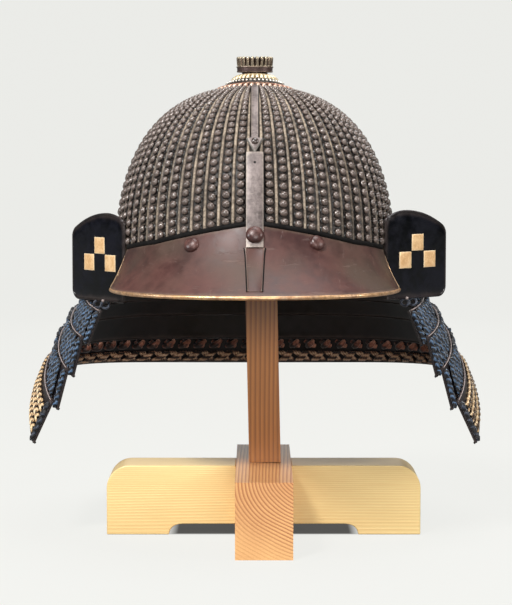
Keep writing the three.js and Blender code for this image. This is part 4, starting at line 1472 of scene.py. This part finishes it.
def head_line(number):
    form = Form()
    path, ups = line_on(lame_surface(number), 220, 0.9, down=0.03, start=0.004, end=0.996)
    add_cord(form, path, 0.42, ups=ups)
    return form


for number in range(5):
    make_piece(f"lame_{number + 1}_rim", lame_rims(number), black_lacquer, crease=60)
    if number:
        make_piece(f"lame_{number + 1}_head_line", head_line(number), pale_edge, crease=60)

# %% [markdown]
# ### Braids
# Each braid is one flat cord that swells and sways as its plaits cross over. Twisting single strands round
# each other would be truer close up, but there are more than two hundred braids, and at arm's length the
# swell and the strokes of the silk finish say enough. No two are tied quite alike, so each plait starts at
# another place and each braid stands off the lame a little differently.

# %% One braid
BRAID_SIDES = 8


def braid(form, surface, across, start, end, width, thick, lift, rows, plaits, hand=None):
    """One flat plaited braid down a lame. Its mark is how far along it each point lies, in metres."""
    sway, phase, stand_off = 0.0, 0.0, 0.0
    if hand:
        sway, phase, stand_off = hand.uniform(-0.5, 0.5), hand.uniform(0, 1), hand.uniform(-0.5, 0.7)
    path, ups, sizes = [], [], []
    for share in spaced(0, 1, rows):
        down = mix(start, end, share)
        turn = (share * plaits + phase) * math.pi
        plait = abs(math.sin(turn))
        side = (surface(min(across + 1e-3, 1), down) - surface(max(across - 1e-3, 0), down)).normalized()
        aside = sway * math.sin(share * 6) + 0.6 * math.sin(2 * turn)
        path.append(lifted(surface, across, down, lift + stand_off + 0.7 * plait) + side * aside)
        ups.append(normal_of(surface, across, down))
        sizes.append(width / 2 * (0.66 + 0.34 * plait - 0.12 * (2 * share - 1) ** 4))
    add_cord(form, path, sizes, sides=BRAID_SIDES, flat=thick / width, ups=ups)
    length = (path[-1] - path[0]).length
    slants = [abs(math.cos(n / BRAID_SIDES * TURN)) * width / 2 for n in range(BRAID_SIDES)]
    marks = [(length * share + slant) * MM for share in spaced(0, 1, rows) for slant in slants]
    form.marks[-len(marks):] = marks


print("braid tool ready")

# %% Braids of blue silk
BRAID = 8.4


def lacing(number):
    form, hand = Form(), random.Random(number)
    surface = lame_surface(number)
    for across in even_stations(surface, 0.6, BRAID):
        if 0.02 < across < 0.98:
            braid(form, surface, across, 0.05, 1.0, width=BRAID * 1.02, thick=3.6, lift=2.4, rows=18,
                  plaits=4.0, hand=hand)
    return form


for number in range(4):
    make_piece(f"lacing_{number + 1}_braids", lacing(number), blue_silk,
               [f"lacing_{number + 1}"], crease=70)

# %% Edge cords
EDGE_CORD_IN = 5.0


def edge_cords(number):
    form, surface = Form(), lame_surface(number)
    share_per_mm = 0.005 / (surface(0.5, 0.5) - surface(0.505, 0.5)).length
    for across in (EDGE_CORD_IN * share_per_mm, 1 - EDGE_CORD_IN * share_per_mm):
        braid(form, surface, across, 0.08, 1.02, width=6.6, thick=4.6, lift=2.4, rows=22, plaits=5.0)
    return form


for number in range(5):
    edge_silk = blue_silk if number < 4 else dark_silk
    make_piece(f"edge_cord_{number + 1}", edge_cords(number), edge_silk, crease=70)

# %% [markdown]
# ### Loops under the wings
# Two loops of dark silk hang from each wing's foot, where the lacing of the top lame is tied off, and the
# end of a cord shows beside them. They are small and stiff, so a closed ring with a slight wave is enough.

# %% Silk loops and cord ends
LOOPS_AT, LOOP_BELOW, LOOP_POINTS = (141.0, 149.0), 4.5, 14


def loop_centre(wing, along):
    plan = wing_plan((along - FOLD_X) / math.cos(wing["turn"]), wing["turn"])
    return Vector((wing["side"] * plan.x, plan.y, WING_FOOT + wing["raise"] - LOOP_BELOW))


def add_loop(form, centre):
    turns = [n / LOOP_POINTS * TURN for n in range(LOOP_POINTS)]
    path = [centre + Vector((3.6 * math.cos(turn), 1.2 * math.sin(2 * turn), 3.4 * math.sin(turn)))
            for turn in turns]
    add_cord(form, path, 1.2, ring=True, ups=[TOWARDS_US] * LOOP_POINTS)


loops, ends = Form(), Form()
for wing in WINGS.values():
    for along in LOOPS_AT:
        add_loop(loops, loop_centre(wing, along))
    end = loop_centre(wing, LOOPS_AT[0]) + Vector((wing["side"] * 2, -2.4, 4))
    add_dome(ends, end, Vector((0, -1, 0)), 1.5, 1.6, sides=8)
make_piece("wing_silk_loops", loops, dark_silk, crease=70)
make_piece("wing_silk_ends", ends, pale_edge, crease=70)

# %% [markdown]
# ### Cross-knots
# Rows of crossed silk hold the lowest lame's scales: three outside in gold-coloured silk, and two inside in
# rust and brown. A pattern on the plate would do from far off. Here each knot is two short cords, one over
# the other, so that they cast real shadows.

# %% A cross-knot on a surface
KNOT_STEPS = 6


def cross_knot(form, surface, across, down, wide, high, radius, lift, strands):
    here = surface(across, down)
    u_per_mm = 0.001 / (surface(across + 0.001, down) - here).length
    v_per_mm = 0.01 / (surface(across, down + 0.01) - here).length
    marks = [(share * wide + side * 0.5) * MM for share in spaced(0, 1, KNOT_STEPS) for side in range(6)]
    for lean in (-1, 1):
        for strand in range(strands):
            aside = (strand - (strands - 1) / 2) * radius * 1.7
            path, ups, sizes = [], [], []
            for share in spaced(-1, 1, KNOT_STEPS):
                u = clamp(across + (share * wide / 2 + aside) * u_per_mm, 0.002, 0.998)
                v = clamp(down + lean * share * high / 2 * v_per_mm)
                over = (1.3 if lean > 0 else 0.4) * radius * (1 - share * share)
                path.append(lifted(surface, u, v, lift + math.copysign(over, lift)))
                ups.append(normal_of(surface, u, v))
                sizes.append(radius * (0.7 + 0.3 * (1 - share * share)))
            add_cord(form, path, sizes, ups=ups)
            form.marks[-len(marks):] = marks


print("knot tool ready")

# %% Rows of knots


def knot_rows(downs, spacing, wide, high, radius, lift, strands=1):
    form, surface = Form(), lame_surface(4)
    for down in downs:
        for across in even_stations(surface, down, spacing):
            if 0.015 < across < 0.985:
                cross_knot(form, surface, across, down, wide, high, radius, lift, strands)
    return form


outside = knot_rows((0.33, 0.58, 0.83), spacing=10.5, wide=9.0, high=7.4, radius=1.15, lift=1.9, strands=2)
make_piece("cross_knots_outside", outside, tan_silk, crease=70)
inside = knot_rows([0.40], spacing=16.5, wide=9.0, high=6.4, radius=3.2, lift=-1.5)
make_piece("cross_knots_inside_upper", inside, rust_silk, crease=70)
inside = knot_rows([0.80], spacing=16.5, wide=12.0, high=11.0, radius=1.5, lift=-2.0, strands=3)
make_piece("cross_knots_inside_lower", inside, brown_silk, crease=70)

# %% [markdown]
# ## The stand
# Three square-sawn timbers of pine, halved into each other. The rail's rounded corners are cut afresh so
# that they are smooth, and the beam and the post keep their solids. A bevel could be modelled into each
# outline, but a bevel modifier takes the hardness off every edge at once, as a plane does.

# %% The cross rail's outline
STAND_X, RAIL_LONG, RAIL_HIGH, RAIL_THICK, RAIL_CORNER = 8.4, 300.0, 66.5, 52.0, 22.0
ARCH_LONG, ARCH_HIGH, ARCH_EASE = 181.0, 10.3, 14.0
BEAM_WIDE, JOINT_Z, JOINT_GAP = 52.4, 34.0, 0.3


def rail_half(side):
    """The outline from the notch to the middle of the foot, on one side."""
    notch, half = BEAM_WIDE / 2 + JOINT_GAP, RAIL_LONG / 2
    points = [(notch, JOINT_Z - JOINT_GAP), (notch, RAIL_HIGH)]
    corner_x, corner_z = half - RAIL_CORNER, RAIL_HIGH - RAIL_CORNER
    for turn in spaced(QUARTER_TURN, 0, 16):
        points.append((corner_x + RAIL_CORNER * math.cos(turn), corner_z + RAIL_CORNER * math.sin(turn)))
    points += [(half, 0), (ARCH_LONG / 2, 0)]
    for share in spaced(0, 1, 8)[1:]:
        x = 2 * share * (1 - share) + share ** 2 * ARCH_EASE
        points.append((ARCH_LONG / 2 - x, ARCH_HIGH * (1 - (1 - share) ** 2)))
    return [(side * x, z) for x, z in points]


print("points of half the rail:", len(rail_half(1)))

# %% The cross rail
rail, outline = Form(), rail_half(1) + rail_half(-1)[::-1]
sides = [[Vector((STAND_X + x, y, z)) for x, z in outline] for y in (-RAIL_THICK / 2, RAIL_THICK / 2)]
add_loops(rail, sides, caps="fan")
make_piece("cross_rail_planed", rail, rail_pine, ["cross_rail"], crease=30, bevel=0.8)

# %% The foot beam and the post
finish_solid("foot_beam", beam_pine, 1.0)
finish_solid("post", post_pine, 0.9)
